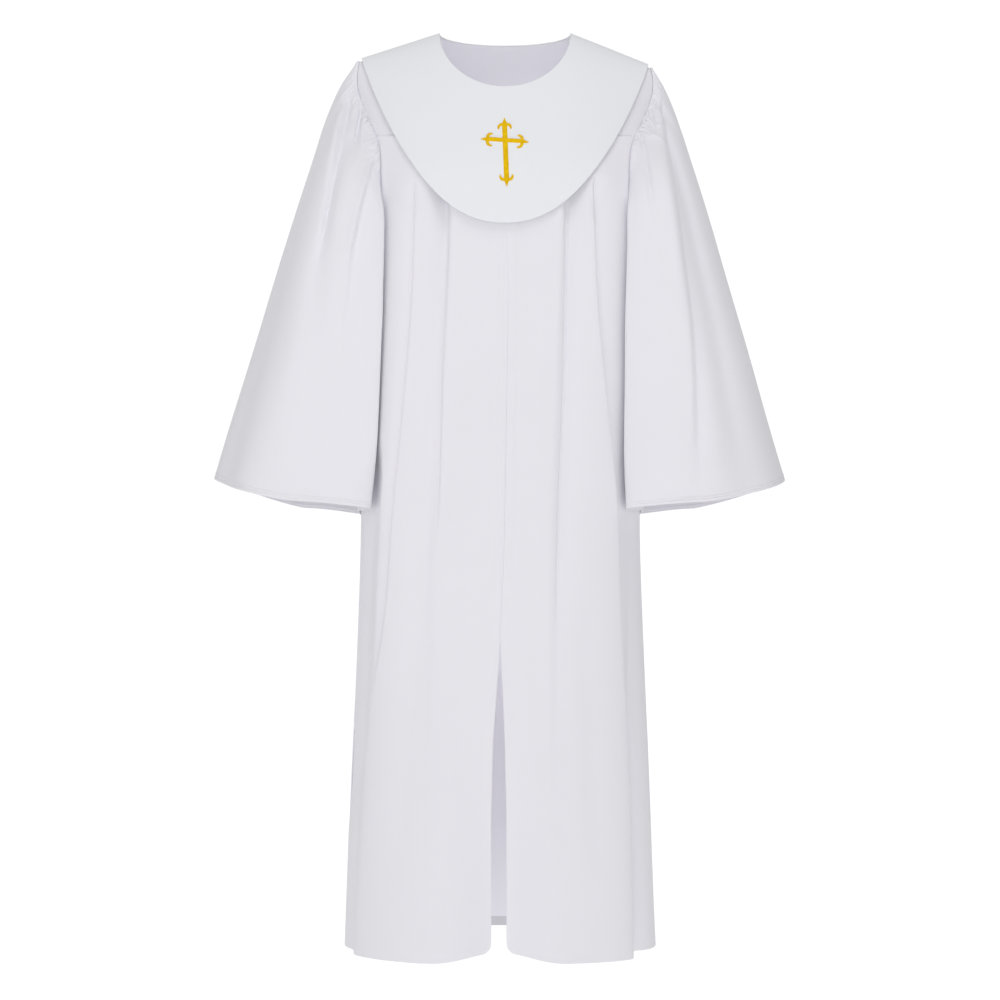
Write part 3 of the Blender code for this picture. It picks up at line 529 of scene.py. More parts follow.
def shoulder_line(x):
    """Height of the shoulder seam at a distance x from the middle, carried across the neck."""
    far = np.abs(x)
    drop = np.where(x < 0, SHOULDER_DROP[-1], SHOULDER_DROP[1])
    over_neck = CREST * (1 - (np.minimum(far, NECK_HALF) / NECK_HALF) ** 2)
    return over_neck - drop * np.maximum(far - NECK_HALF, 0) / (SHOULDER_HALF - NECK_HALF)


def depth(face, x, z):
    """How far the plain body stands forward or back of its middle."""
    power = body("squareness", z)
    across = np.clip(np.abs(x) / body("half_width", z), 0, 1) ** power
    full = body(face + "_depth", z) * (1 - across) ** (1 / power)
    fall = np.clip((shoulder_line(x) - z) / CHEST_DROP[face], 0, 1)
    return full * (1 - (1 - fall) ** CHEST_ROUND[face]) ** (1 / CHEST_ROUND[face])


def body_point(face, x, z):
    """A point of the plain body's outer surface, half the seam gap off the middle."""
    toward = -1 if face == "front" else 1
    away = depth(face, x, z) + bpy.context.scene.robe_cloth.seam / 2
    return np.stack(np.broadcast_arrays(x + body("centre_x", z), toward * away, z), axis=-1)


def armhole_x(face, side, z):
    """How far the armhole edge lies from the middle at this height."""
    tip = shoulder_line(side * SHOULDER_HALF)
    drop = (tip - z) / (tip - UNDERARM_Z)
    keys = column(ARMHOLE, ARMHOLE_COLUMNS, "drop")
    edge = smooth_through(keys, column(ARMHOLE, ARMHOLE_COLUMNS, face + "_x"), drop)
    return np.minimum(edge, body("half_width", z))


def panel_edge(face, side, z):
    """The outer edge of a panel: its armhole, and its side seam below that."""
    return armhole_x(face, side, z) if z > UNDERARM_Z else body("half_width", z)


def fold_at(fold, name, z):
    """A fold's place, x, or how far it stands out, at this height."""
    return smooth_through(FOLD_HEIGHTS, [fold[name + part] for part in ("_chest", "_hip", "_hem")], z)


def crease_x(crease, z):
    """Where a crease runs at this height."""
    return smooth_through([point[1] for point in crease["path"]], [point[0] for point in crease["path"]], z)


def creased(piece, x, z):
    """How far the creases of a piece stand out at these places."""
    total = np.zeros(np.broadcast(x, z).shape)
    for crease in rows_of(CREASES, CREASE_COLUMNS):
        if crease["piece"] != piece:
            continue
        (top_x, top_z), (foot_x, foot_z) = crease["path"][0], crease["path"][-1]
        lean = (top_z - foot_z) / math.hypot(top_x - foot_x, top_z - foot_z)
        off = (x - crease_x(crease, z)) * lean
        width = np.where(off < 0, crease["left"], crease["right"])
        grow = eased((top_z + crease["above"] - z) / crease["above"])
        grow = grow * eased((z - foot_z) / crease["below"])
        total += crease["out"] * grow * swell(off, width)
    return total


def crisp_places(piece, z):
    """Where crisp creases of a piece cross this height, and how much closer the columns lie there."""
    found = []
    for crease in rows_of(CREASES, CREASE_COLUMNS):
        if crease["piece"] == piece and min(crease["left"], crease["right"]) < CRISP_WIDTH:
            above = z - crease["path"][0][1] - crease["above"]
            below = crease["path"][-1][1] - z
            share = float(eased(1 - max(above, below) / CRISP_REACH))
            if share > 0:
                found.append((float(crease_x(crease, z)), share))
    return found


def roll(away, height, width):
    """The soft roll of cloth beside a seam: nothing at the seam, and full height a width from it."""
    part = np.maximum(away, 0) / width
    return height * part * np.exp(1 - part)


class Ring:
    """The level line round the front or back of the body at one height, measured along the cloth."""

    def __init__(self, face, z):
        self.face = face
        self.z = z
        turn = np.radians(np.linspace(-90, 90, RING_STEPS))
        power = 2 / body("squareness", z)
        self.x = body("half_width", z) * np.sign(np.sin(turn)) * np.abs(np.sin(turn)) ** power
        self.points = body_point(face, self.x, np.full(RING_STEPS, z))
        self.along = lengths_along(self.points)
        self.along -= self.along[RING_STEPS // 2]

    def place(self, x):
        return np.interp(x, self.x, self.along)

    def fold(self, along):
        """How far the folds and creases stand off the plain cloth."""
        off = np.zeros_like(along)
        for fold in rows_of(FOLDS, FOLD_COLUMNS):
            if fold["face"] != self.face:
                continue
            away = fold["side"] * along - self.place(fold_at(fold, "x", self.z))
            width = np.where(away < 0, fold["width_in"], fold["width_out"])
            off += fold_at(fold, "out", self.z) * swell(away, width)
        off *= eased((YOKE_Z - self.z) / PLEAT_START)
        x = np.interp(along, self.along, self.points[:, 0])
        off += creased(self.face, x, np.full_like(x, self.z))
        first, second = (np.sin(wave * along + drop * self.z + start) for wave, drop, start in WANDER_WAVES)
        return off + WANDER * (first * second) * eased((YOKE_Z - self.z) / WANDER_START)

    def crisp(self, side=None):
        """Places of the crisp creases on this ring, on one side or on both, with their shares."""
        middle = body("centre_x", self.z)
        found = crisp_places(self.face, self.z)
        return [(self.place(x - middle), share) for x, share in found if side is None or x * side > 0]

    def line(self, along, more):
        """Points of the folded cloth at these places along the ring."""
        base = points_at(along, self.along, self.points)
        ahead = points_at(along + RUN_STEP, self.along, self.points, 2)
        run = ahead - points_at(along - RUN_STEP, self.along, self.points, 2)
        run /= np.linalg.norm(run, axis=1)[:, None]
        toward = 1 if self.face == "front" else -1
        out = np.stack([toward * run[:, 1], -toward * run[:, 0]], axis=-1)
        base[:, :2] += out * (self.fold(along) + more)[:, None]
        return base


def spread(start, stop, count, folds, crisp):
    """Places from start to stop, closer together by the folds and closest by crisp creases."""
    fine = np.linspace(start, stop, FINE_STEPS)
    weight = np.ones_like(fine)
    for place in folds:
        weight += FOLD_CROWD[0] * swell(fine - place, FOLD_CROWD[1])
    for place, share in crisp:
        weight += CRISP_CROWD[0] * share * swell(fine - place, CRISP_CROWD[1])
    return by_weight(fine, weight, count)


def spread_to_sides(places, counts, folds, crisp):
    """Places across a panel in stretches with fixed counts, so that a moving edge stirs only its own stretch."""
    stretches = [
        spread(start, stop, count + 1, folds, crisp)[:-1] for start, stop, count in zip(places, places[1:], counts)
    ]
    return np.concatenate(stretches + [[places[-1]]])


def fold_places(ring, sides):
    """Where the folds of these sides cross the ring."""
    found = []
    for fold in rows_of(FOLDS, FOLD_COLUMNS):
        if fold["face"] == ring.face and fold["side"] in sides:
            found.append(ring.place(fold["side"] * fold_at(fold, "x", ring.z)))
    return found


def panel_heights(count):
    """Heights of the rows: close together by the yoke seam and in the hem."""
    top = YOKE_Z - bpy.context.scene.robe_cloth.seam / 2
    seam = top - np.linspace(0, SEAM_BAND, SEAM_ROWS)[:-1]
    hem = np.linspace(HEM_Z + BODY_HEM + HEM_MARGIN, HEM_Z, HEM_ROWS)[1:]
    rest = np.linspace(0, 1, count - len(seam) - len(hem)) ** PANEL_CROWD
    between = seam[-1] - ROW_GAP + (hem[0] + ROW_GAP - seam[-1] + ROW_GAP) * rest
    rows = np.concatenate([seam, between, hem])
    rows[np.argmin(np.abs(rows - UNDERARM_Z))] = UNDERARM_Z
    return rows


def front_panel(side, rows_down, across):
    """Rows of points from the centre front to the armhole or the side seam."""
    rows = []
    for z in panel_heights(rows_down):
        ring = Ring("front", z)
        middle = centre("x", z) - body("centre_x", z) + side * centre("half_gap", z)
        start = ring.place(middle)
        edge = panel_edge("front", side, z)
        near = ring.place(side * NEAR_EDGE * edge)
        stop = ring.place(side * edge)
        counts = (across - 1 - EDGE_COLUMNS, EDGE_COLUMNS)
        crisp = ring.crisp(side) + [(start, 1.0)]
        along = spread_to_sides((start, near, stop), counts, fold_places(ring, (side,)), crisp)
        more = roll(YOKE_Z - z, *SEAM_ROLL) + roll(np.abs(along - start), *CENTRE_ROLL)
        if z > UNDERARM_Z:
            more = more + roll(np.abs(along - stop), *SEAM_ROLL)
        line = ring.line(along, more)
        off = np.clip(HEM_CORNER - np.abs(along - start), 0, HEM_CORNER)
        rise = HEM_CORNER - np.sqrt(HEM_CORNER**2 - off**2)
        rise += HEM_RISE * eased(1 - np.abs(along - start) / HEM_RISE_WIDTH)
        line[:, 2] += rise * eased((HEM_Z + HEM_RISE_HEIGHT - z) / HEM_RISE_HEIGHT)
        rows.append(line)
    return np.array(rows)


def back_panel(rows_down, across):
    """Rows of points from the right armhole or side seam to the left one."""
    rows = []
    for z in panel_heights(rows_down):
        ring = Ring("back", z)
        ends = []
        for side in (-1, 1):
            edge = panel_edge("back", side, z)
            ends.append((ring.place(side * edge), ring.place(side * NEAR_EDGE * edge)))
        places = (ends[0][0], ends[0][1], ends[1][1], ends[1][0])
        counts = (EDGE_COLUMNS, across - 1 - 2 * EDGE_COLUMNS, EDGE_COLUMNS)
        along = spread_to_sides(places, counts, fold_places(ring, (-1, 1)), ring.crisp())
        more = roll(YOKE_Z - z, *SEAM_ROLL) * np.ones_like(along)
        if z > UNDERARM_Z:
            more += roll(along - places[0], *SEAM_ROLL) + roll(places[-1] - along, *SEAM_ROLL)
        rows.append(ring.line(along, more))
    return np.array(rows)


def yoke(face, parts, rows_down):
    """Rows from the neck and shoulder seam down to the yoke seam; parts run across from -1 to 1."""
    seam = bpy.context.scene.robe_cloth.seam
    rows = []
    for down in np.linspace(0, 1, rows_down) ** YOKE_CROWD:
        edges = {}
        for side in (-1, 1):
            tip = shoulder_line(side * SHOULDER_HALF)
            edges[side] = armhole_x(face, side, tip + (YOKE_Z - tip) * down)
        edge = np.where(parts < 0, edges[-1], edges[1])
        top_x = SHOULDER_HALF * parts
        level = np.sqrt(np.clip(1 - (np.abs(top_x) / NECK_HALF) ** 2, 0, 1))
        top = np.where(np.abs(top_x) < NECK_HALF, -NECK_DROP[face] * level, shoulder_line(top_x))
        z = top + (YOKE_Z + seam / 2 - top) * down
        rows.append(body_point(face, edge * parts, z))
    return np.array(rows)


def armhole_loop(side, count):
    """The armhole edge: the tip first, down the front to the underarm and up the back."""
    tip = shoulder_line(side * SHOULDER_HALF)
    down = (1 - np.cos(np.linspace(0, math.pi, LOOP_STEPS))) / 2
    heights = tip + (UNDERARM_Z - tip) * down
    front = body_point("front", side * armhole_x("front", side, heights), heights)
    back = body_point("back", side * armhole_x("back", side, heights), heights)
    front[0, 1] = 0
    front[-1, 1] = 0
    loop = np.concatenate([front, back[-2:0:-1], front[:1]])
    along = lengths_along(loop)
    points = points_at(np.linspace(0, along[-1], count, endpoint=False), along, loop)
    points[:, 0] += side * 2 * bpy.context.scene.robe_cloth.seam
    return points


def gather_lift(side, along, turn):
    """Height of the gathers: broad ones all round, and small uneven ridges by the seam over the sleeve's cap."""
    cloth = bpy.context.scene.robe_cloth
    even = np.linspace(0, 2 * math.pi, TURN_STEPS, endpoint=False)
    uneven = even + 0.030 * np.sin(5 * even) + 0.018 * np.sin(7 * even + 1.0)
    place = np.interp(turn, uneven, even, period=2 * math.pi)
    size = 1 + 0.35 * np.sin(3 * turn + 0.5) + 0.2 * np.sin(8 * turn)
    fade = math.exp(-((along / GATHER_RUN) ** 2))
    wave = np.cos(cloth.gathers * place) * size * eased((along + GATHER_START[0]) / GATHER_START[1]) * fade
    chance = np.random.default_rng(RIDGE_SEED + side)
    gaps = chance.uniform(*RIDGE_GAPS, cloth.ridges)
    edges = np.concatenate([[0], np.cumsum(gaps)]) * 2 * math.pi / gaps.sum()
    heights = chance.uniform(*RIDGE_HEIGHTS, cloth.ridges)
    lengths = chance.uniform(*RIDGE_LENGTHS, cloth.ridges)
    lengths[chance.integers(0, cloth.ridges, cloth.ridges // LONG_RIDGE_EVERY)] *= LONG_RIDGE
    bends = chance.uniform(-1.0, 1.0, RIDGE_BENDS)
    bend = np.interp(turn, np.linspace(0, 2 * math.pi, RIDGE_BENDS), bends)
    drift = bend * (RIDGE_DRIFT * along + RIDGE_WAVE[0] * math.sin(RIDGE_WAVE[1] * along))
    where = (turn + drift) % (2 * math.pi)
    number = np.clip(np.searchsorted(edges, where, side="right") - 1, 0, cloth.ridges - 1)
    part = (where - edges[number]) / (edges[number + 1] - edges[number])
    away = SLEEVE_RUN * along
    cap = np.minimum(turn, 2 * math.pi - turn)
    over_cap = RIDGE_UNDER_CAP + (1 - RIDGE_UNDER_CAP) * eased((RIDGE_CAP_END - cap) / CAP_BLEND)
    rise = RIDGE_AT_SEAM + (1 - RIDGE_AT_SEAM) * eased(away / RIDGE_RISE_RUN)
    fade = swell(away, lengths[number]) * rise
    ridge = np.abs(np.sin(math.pi * part)) ** RIDGE_ROUND * heights[number] * fade * over_cap
    return GATHER_SHARE * cloth.gather * wave + cloth.ridge * ridge + roll(away, *HEAD_ROLL)


def sleeve_ring(side, along, turn):
    """Points round a sleeve at a share of the way along it, with its folds, creases and gathers."""
    table = SLEEVE_SECTIONS[side]
    keys = column(table, SLEEVE_COLUMNS, "along")

    def hanging(at):
        size = {name: smooth_through(keys, column(table, SLEEVE_COLUMNS, name), at) for name in SLEEVE_COLUMNS}
        fore = np.sin(turn) > 0
        reach = np.where(fore, size["front_y"], size["back_y"])
        wrap = size["wrap"] * swell(np.abs(turn - math.pi) - WRAP_TURN, WRAP_WIDTH)
        level = np.cos(turn)
        skewed = HEM_SAG["back"] * (BACK_SAG_SKEW[0] - BACK_SAG_SKEW[1] * level)
        sag = np.where(fore, HEM_SAG["front"], skewed) * at**2
        square = np.where(level < 0, -np.abs(level) ** SLEEVE_SQUARE, level)
        x = (size["outer_x"] + size["inner_x"]) / 2 + (size["outer_x"] - size["inner_x"]) / 2 * square - wrap
        z = (size["outer_z"] + size["inner_z"]) / 2 + (size["outer_z"] - size["inner_z"]) / 2 * level
        return np.stack([side * x, -reach * np.sin(turn), z - sag * np.abs(np.sin(turn))], axis=-1)

    ring = hanging(along)
    at = np.linspace(0, 2 * math.pi, LOOP_POINTS, endpoint=False)
    loop = points_at(turn, at, armhole_loop(side, LOOP_POINTS), period=2 * math.pi)
    ring += (loop - hanging(0.0)) * max(0.0, 1 - along / SLEEVE_HEAD_END) ** 2
    outward = np.array(ring - ring.mean(axis=0))
    outward /= np.linalg.norm(outward, axis=1)[:, None]
    lift = np.zeros(len(turn))
    degrees = np.degrees(turn)
    for fold in rows_of(SLEEVE_FOLDS, SLEEVE_FOLD_COLUMNS):
        if fold["side"] == side:
            place = fold["turn_head"] + (fold["turn_hem"] - fold["turn_head"]) * along
            out = smooth_through((0, 0.5, 1), [fold["out_head"], fold["out_middle"], fold["out_hem"]], along)
            lift += out * eased(along / FOLD_START) * swell(degrees - place, fold["width"])
    for crease in rows_of(SLEEVE_CREASES, SLEEVE_CREASE_COLUMNS):
        part = (along - crease["along_top"]) / (crease["along_foot"] - crease["along_top"])
        if crease["side"] == side and 0 < part < 1:
            place = crease["turn_top"] + (crease["turn_foot"] - crease["turn_top"]) * part
            grow = eased(part / CREASE_COMES) * eased((1 - part) / CREASE_GOES)
            lift += crease["out"] * grow * swell(degrees - place, crease["width"])
    name = "sleeve_left" if side > 0 else "sleeve_right"
    ahead = eased(np.sin(turn) / FRONT_EASE)
    lift += creased(name, ring[:, 0], ring[:, 2]) * ahead * min(1.0, SLEEVE_RUN * along / CREASE_START)
    lift += gather_lift(side, along, turn)
    groove, width = HEM_GROOVE
    lift -= groove * math.exp(-(((SLEEVE_RUN * (1 - along) - SLEEVE_HEM) / width) ** 2))
    wander = SLEEVE_WANDER * np.sin(5 * turn + 6 * along + side) * np.sin(3 * turn - 9 * along)
    lift += wander * eased(along / SLEEVE_WANDER_START)
    ring += outward * lift[:, None]
    return keep_off_body(side, along, ring)


def keep_off_body(side, along, ring):
    """Moves points of a sleeve outward until they clear the side of the body."""
    start = 2 * bpy.context.scene.robe_cloth.seam
    clear = start + (SLEEVE_CLEAR - start) * eased(along / OFF_START)
    z = np.minimum(ring[:, 2], YOKE_Z)
    face_depth = np.where(ring[:, 1] < 0, body("front_depth", z), body("back_depth", z))
    fall = np.where(ring[:, 1] < 0, CHEST_DROP["front"], CHEST_DROP["back"])
    part = np.clip((shoulder_line(side * OFF_CHEST_X) - z) / fall, 0, 1)
    face_depth = face_depth * (1 - (1 - part) ** OFF_CHEST_ROUND) ** (1 / OFF_CHEST_ROUND) + clear
    power = body("squareness", z)
    inside = np.clip(np.abs(ring[:, 1]) / face_depth, 0, 1) ** power
    least = (body("half_width", z) + clear) * (1 - inside) ** (1 / power)
    least = least + side * body("centre_x", z)
    x = side * ring[:, 0]
    soft = OFF_SOFTNESS * eased(along / OFF_START) + LEAST_SOFTNESS
    pushed = least + np.logaddexp(0, (x - least) / soft) * soft
    pushed = np.where((inside >= 1) | (along == 0) | (ring[:, 2] > YOKE_Z), x, pushed)
    ring[:, 0] = side * np.maximum(x, pushed)
    return ring


def sleeve_grid(side, rows_down, around):
    """Rows of points down a sleeve, with the columns closest over the front of its cap."""
    fine = np.linspace(0, 2 * math.pi, TURN_STEPS)
    least, front, back = COLUMN_WEIGHTS
    weight = least + front * eased((CAP_FRONT_END - fine) / CAP_BLEND)
    weight += back * eased((fine - CAP_BACK_START) / CAP_BLEND)
    turn = by_weight(fine, weight, around, endpoint=False)
    head = np.linspace(0, HEAD_SHARE, HEAD_ROWS)[:-1]
    hem = np.linspace(1 - SLEEVE_HEM_SHARE, 1, SLEEVE_HEM_ROWS)[1:]
    fall = np.linspace(HEAD_SHARE, 1 - SLEEVE_HEM_SHARE, rows_down - len(head) - len(hem))
    return np.array([sleeve_ring(side, along, turn) for along in np.concatenate([head, fall, hem])])


def collar_points(rows_out, around):
    """Rows of points on the plain body from the neck edge to the collar's rim."""
    turn = np.linspace(0, 2 * math.pi, around, endpoint=False)
    turn += COLLAR_CROWD * np.sin(2 * turn)
    rows = []
    for out in np.linspace(0, 1, rows_out):
        row = []
        for angle in turn:
            face = "front" if math.cos(angle) >= 0 else "back"
            level = abs(math.cos(angle))
            neck_x = NECK_HALF * math.sin(angle)
            neck_drop = shoulder_line(neck_x) + NECK_DROP[face] * level
            edge_x = COLLAR_HALF * math.copysign(abs(math.sin(angle)), math.sin(angle))
            tip = shoulder_line(math.copysign(COLLAR_HALF, edge_x))
            curve = (abs(edge_x) / COLLAR_HALF) ** COLLAR_CURVE[face]
            edge_z = -COLLAR_BOTTOM[face] + (tip + COLLAR_BOTTOM[face]) * curve
            edge_drop = shoulder_line(edge_x) - edge_z
            x = neck_x + (edge_x - neck_x) * out
            drop = max(neck_drop + (edge_drop - neck_drop) * out, 0)
            row.append(body_point(face, np.array(x), np.array(shoulder_line(x) - drop)))
        rows.append(row)
    return np.array(rows)


def grid_faces(rows, columns, closed):
    """Four-sided faces between rows of points."""
    r = np.arange(rows - 1)[:, None]
    c = np.arange(columns if closed else columns - 1)[None, :]
    right = (c + 1) % columns
    corners = (r * columns + c, (r + 1) * columns + c, (r + 1) * columns + right, r * columns + right)
    return np.stack(np.broadcast_arrays(*corners), axis=-1).reshape(-1, 4)


def normals(points, faces):
    """The cloth's outward direction at each point."""
    turn = np.cross(points[faces[:, 2]] - points[faces[:, 0]], points[faces[:, 3]] - points[faces[:, 1]])
    total = np.zeros_like(points)
    for corner in range(4):
        np.add.at(total, faces[:, corner], turn)
    return total / np.maximum(np.linalg.norm(total, axis=1), 1e-12)[:, None]


def paint_hem_shade(mesh, grid, height):
    """Paints shade on the inside of a turned-up hem, where the doubled cloth lets less light through: a darker copy of
    the cloth on the rows that lie within its height.
    """
    rows, columns = grid.shape[:2]
    mesh.materials.append(material_named("turned_up_hem"))
    low = grid[:, :, 2].mean(axis=1)
    first = int(np.argmax(low < low[-1] + height))
    count = (rows - 1) * (columns - 1)
    for number in range(count + first * (columns - 1), 2 * count):
        mesh.polygons[number].material_index = 1


def cloth_piece(name, grid, wall, look, flip=False, closed=False, level=None, lift=None):
    """A closed cloth wall inside rows of outer points, with a UV map in metres along its threads.
    level names the edges that butt a neighbour and the axis that their normals have none of."""
    rows, columns = grid.shape[:2]
    points = grid.reshape(-1, 3)
    faces = grid_faces(rows, columns, closed)
    if flip:
        faces = faces[:, ::-1]
    out = normals(points, faces)
    edges = {
        "top": range(columns),
        "bottom": range((rows - 1) * columns, rows * columns),
        "first": range(0, rows * columns, columns),
        "last": range(columns - 1, rows * columns, columns),
    }
    for edge, axis in (level or {}).items():
        out[list(edges[edge]), axis] = 0
    out /= np.linalg.norm(out, axis=1)[:, None]
    if lift is not None:
        points = points + out * lift[:, None]
    count = len(points)
    inner = points - out * wall
    ends = np.concatenate([faces[:, [i, (i + 1) % 4]] for i in range(4)])
    code = ends[:, 0] * count + ends[:, 1]
    rim = ends[~np.isin(code, ends[:, 1] * count + ends[:, 0])]
    rims = np.stack([rim[:, 1], rim[:, 0], rim[:, 0] + count, rim[:, 1] + count], axis=-1)
    every = np.concatenate([faces, faces[:, ::-1] + count, rims])
    mesh = bpy.data.meshes.new(name)
    mesh.from_pydata(np.concatenate([points, inner]).tolist(), [], every.tolist())
    mesh.polygons.foreach_set("use_smooth", np.ones(len(every), bool))
    mesh.set_sharp_from_angle(angle=math.radians(SHARP_ANGLE))
    across = np.linalg.norm(np.diff(grid, axis=1), axis=2)
    u = np.concatenate([np.zeros((rows, 1)), np.cumsum(across, axis=1)], axis=1)
    u -= u[:, columns // 2][:, None]
    down = np.linalg.norm(np.diff(grid, axis=0), axis=2)
    v = np.concatenate([np.zeros((1, columns)), np.cumsum(down, axis=0)], axis=0)
    flat = np.stack([u.reshape(-1), v.reshape(-1)], axis=-1)
    flat = np.concatenate([flat, flat])
    layer = mesh.uv_layers.new(name="threads")
    corner = np.zeros(len(mesh.loops), np.int32)
    mesh.loops.foreach_get("vertex_index", corner)
    layer.data.foreach_set("uv", flat[corner].reshape(-1).astype(np.float32))
    mesh.materials.append(look)
    made = linked(name, mesh)
    made["flat_area"] = float(np.linalg.norm(np.cross(
        points[faces[:, 2]] - points[faces[:, 0]], points[faces[:, 3]] - points[faces[:, 1]]
    ), axis=1).sum() / 2)
    return made


class Socket:
    """A shader socket that takes part in sums written as plain expressions."""

    def __init__(self, nodes, socket):
        self.nodes = nodes
        self.socket = socket

    def maths(self, operation, *values):
        return self.nodes.node("ShaderNodeMath", {"operation": operation}, dict(enumerate(values)))

    def __add__(self, other):
        return self.maths("ADD", self, other)

    def __sub__(self, other):
        return self.maths("SUBTRACT", self, other)

    def __mul__(self, other):
        return self.maths("MULTIPLY", self, other)

    def sine(self):
        return self.maths("SINE", self)


class Look:
    """A material and the nodes that make it."""

    def __init__(self, name, roughness, sheen=0.0):
        self.material = bpy.data.materials.new(name)
        self.material.use_nodes = True
        self.tree = self.material.node_tree
        self.shader = self.tree.nodes["Principled BSDF"]
        self.shader.inputs["Roughness"].default_value = roughness
        self.shader.inputs["Sheen Weight"].default_value = sheen
        self.shader.inputs["Sheen Roughness"].default_value = 0.5
        self.shader.inputs["Specular IOR Level"].default_value = 0.25

    def node(self, kind, settings=None, inputs=None, output=0):
        made = self.tree.nodes.new(kind)
        for name, value in (settings or {}).items():
            setattr(made, name, value)
        for name, value in (inputs or {}).items():
            if isinstance(value, Socket):
                self.tree.links.new(value.socket, made.inputs[name])
            else:
                made.inputs[name].default_value = value
        return Socket(self, made.outputs[output])

    def feed(self, name, value):
        self.tree.links.new(value.socket, self.shader.inputs[name])


def woven_look(name, colour, weave, roughness, crinkle):
    """Plain woven cloth: fine threads on the UV map, faint unevenness and a little colour change."""
    look = Look(name, roughness, sheen=0.12)
    threads = look.node("ShaderNodeUVMap", {"uv_map": "threads"})
    split = look.tree.nodes.new("ShaderNodeSeparateXYZ")
    look.tree.links.new(threads.socket, split.inputs[0])
    turns = 2 * math.pi / weave
    u = Socket(look, split.outputs[0])
    v = Socket(look, split.outputs[1])
    pattern = (u * turns).sine() * (v * turns).sine()
    place = look.node("ShaderNodeTexCoord", output=3)
    slub = look.node("ShaderNodeTexNoise", inputs={"Vector": place, "Scale": 900.0, "Detail": 2.0})
    soft = look.node("ShaderNodeTexNoise", inputs={"Vector": place, "Scale": 34.0, "Detail": 3.0})
    wide = look.node("ShaderNodeTexNoise", inputs={"Vector": place, "Scale": 7.0, "Detail": 2.0})
    height = pattern * 0.5 + slub * 0.6
    fine = look.node("ShaderNodeBump", inputs={"Strength": 0.10, "Distance": 0.0002, "Height": height})
    crinkled = {"Strength": crinkle, "Distance": 0.0012, "Height": soft, "Normal": fine}
    look.feed("Normal", look.node("ShaderNodeBump", inputs=crinkled))
    amount = (wide - 0.5) * 0.30 + (slub - 0.5) * 0.25 + 0.5
    deep = tuple(0.955 * c for c in colour) + (1.0,)
    bright = tuple(min(1.0, 1.015 * c) for c in colour) + (1.0,)
    mixed = look.node("ShaderNodeMix", {"data_type": "RGBA"}, {0: amount, 6: deep, 7: bright}, output=2)
    look.feed("Base Color", mixed)
    return look.material


def thread_look(name, colour):
    """Sewing thread: fine strands, and a colour that runs from deep to bright."""
    look = Look(name, THREAD_ROUGHNESS, sheen=0.2)
    look.shader.inputs["Specular IOR Level"].default_value = THREAD_SPECULAR
    place = look.node("ShaderNodeTexCoord", output=3)
    strands = look.node("ShaderNodeTexNoise", inputs={"Vector": place, "Scale": 1400.0, "Detail": 2.0})
    wide = look.node("ShaderNodeTexNoise", inputs={"Vector": place, "Scale": 160.0, "Detail": 1.0})
    look.feed("Normal", look.node("ShaderNodeBump", inputs={"Strength": 0.3, "Distance": 0.0001, "Height": strands}))
    deep = (colour[0] * 0.80, colour[1] * 0.74, colour[2] * 0.6, 1.0)
    bright = (min(1.0, colour[0] * 1.06), colour[1] * 1.08, colour[2] * 1.2, 1.0)
    mixed = look.node("ShaderNodeMix", {"data_type": "RGBA"}, {0: wide, 6: deep, 7: bright}, output=2)
    look.feed("Base Color", mixed)
    return look.material


def material_named(name):
    """The robe's material of this name, made the first time that it is asked for."""
    if name in bpy.data.materials:
        return bpy.data.materials[name]
    cloth = bpy.context.scene.robe_cloth
    if name in WOVEN:
        finish = dict(zip(WOVEN_COLUMNS, WOVEN[name]))
        colour = tuple(finish["tone"] * part for part in getattr(cloth, finish["colour"]))
        return woven_look(name, colour, cloth.weave * finish["weave"], finish["roughness"], finish["crinkle"])
    gold = tuple(bpy.context.scene.robe_thread.colour)
    return thread_look(name, gold if name == "gold_satin" else WHITE_THREAD)


def finish_cloth(piece, nodes):
    """Says what a cloth piece rides on and which nodes it replaces, and drops its stored flat area."""
    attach(piece, "root")
    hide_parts(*nodes)
    del piece["flat_area"]


class ROBE_OT_fronts(bpy.types.Operator):
    """Builds the two pleated front panels with the slit between them"""

    bl_idname = "robe.fronts"
    bl_label = "Front panels"

    def execute(self, context):
        wall = context.scene.robe_cloth.wall
        for side, name in SIDES:
            piece = cloth_piece(
                "robe_front_" + name, front_panel(side, *FRONT_GRID), wall, material_named("white_polyester"),
                flip=side < 0, level={"top": 2, "first": 0, "last": 1},
            )
            finish_cloth(piece, ["front_" + name])
        return {"FINISHED"}


class ROBE_OT_back(bpy.types.Operator):
    """Builds the fluted back panel"""

    bl_idname = "robe.back"
    bl_label = "Back panel"

    def execute(self, context):
        grid = back_panel(*BACK_GRID)
        piece = cloth_piece(
            "robe_back", grid, context.scene.robe_cloth.wall, material_named("white_polyester"), flip=True,
            level={"top": 2, "first": 1, "last": 1},
        )
        # Painted shade: the inside of the back's hem takes the darker copy of the cloth.
        paint_hem_shade(piece.data, grid, BODY_HEM)
        finish_cloth(piece, ["back"])
        return {"FINISHED"}


class ROBE_OT_yokes(bpy.types.Operator):
    """Builds the front and back yokes from the neck and shoulders to the yoke seam"""

    bl_idname = "robe.yokes"
    bl_label = "Yokes"

    def execute(self, context):
        cloth = context.scene.robe_cloth
        half = np.linspace(0, 1, YOKE_COLUMNS)
        half[np.argmin(np.abs(half - NECK_HALF / SHOULDER_HALF))] = NECK_HALF / SHOULDER_HALF
        look = material_named("white_polyester")
        for side, name in SIDES:
            rows = yoke("front", side * half, YOKE_ROWS)
            rows[:, 0, 0] += side * cloth.seam / 2
            piece = cloth_piece(
                "robe_yoke_front_" + name, rows, cloth.wall, look, flip=side < 0,
                level={"top": 1, "bottom": 2, "first": 0},
            )
            finish_cloth(piece, ["yoke_front_" + name])
        parts = np.concatenate([-half[:0:-1], half])
        rows = yoke("back", parts, YOKE_ROWS)
        piece = cloth_piece("robe_yoke_back", rows, cloth.wall, look, flip=True, level={"top": 1, "bottom": 2})
        finish_cloth(piece, ["yoke_back"])
        return {"FINISHED"}


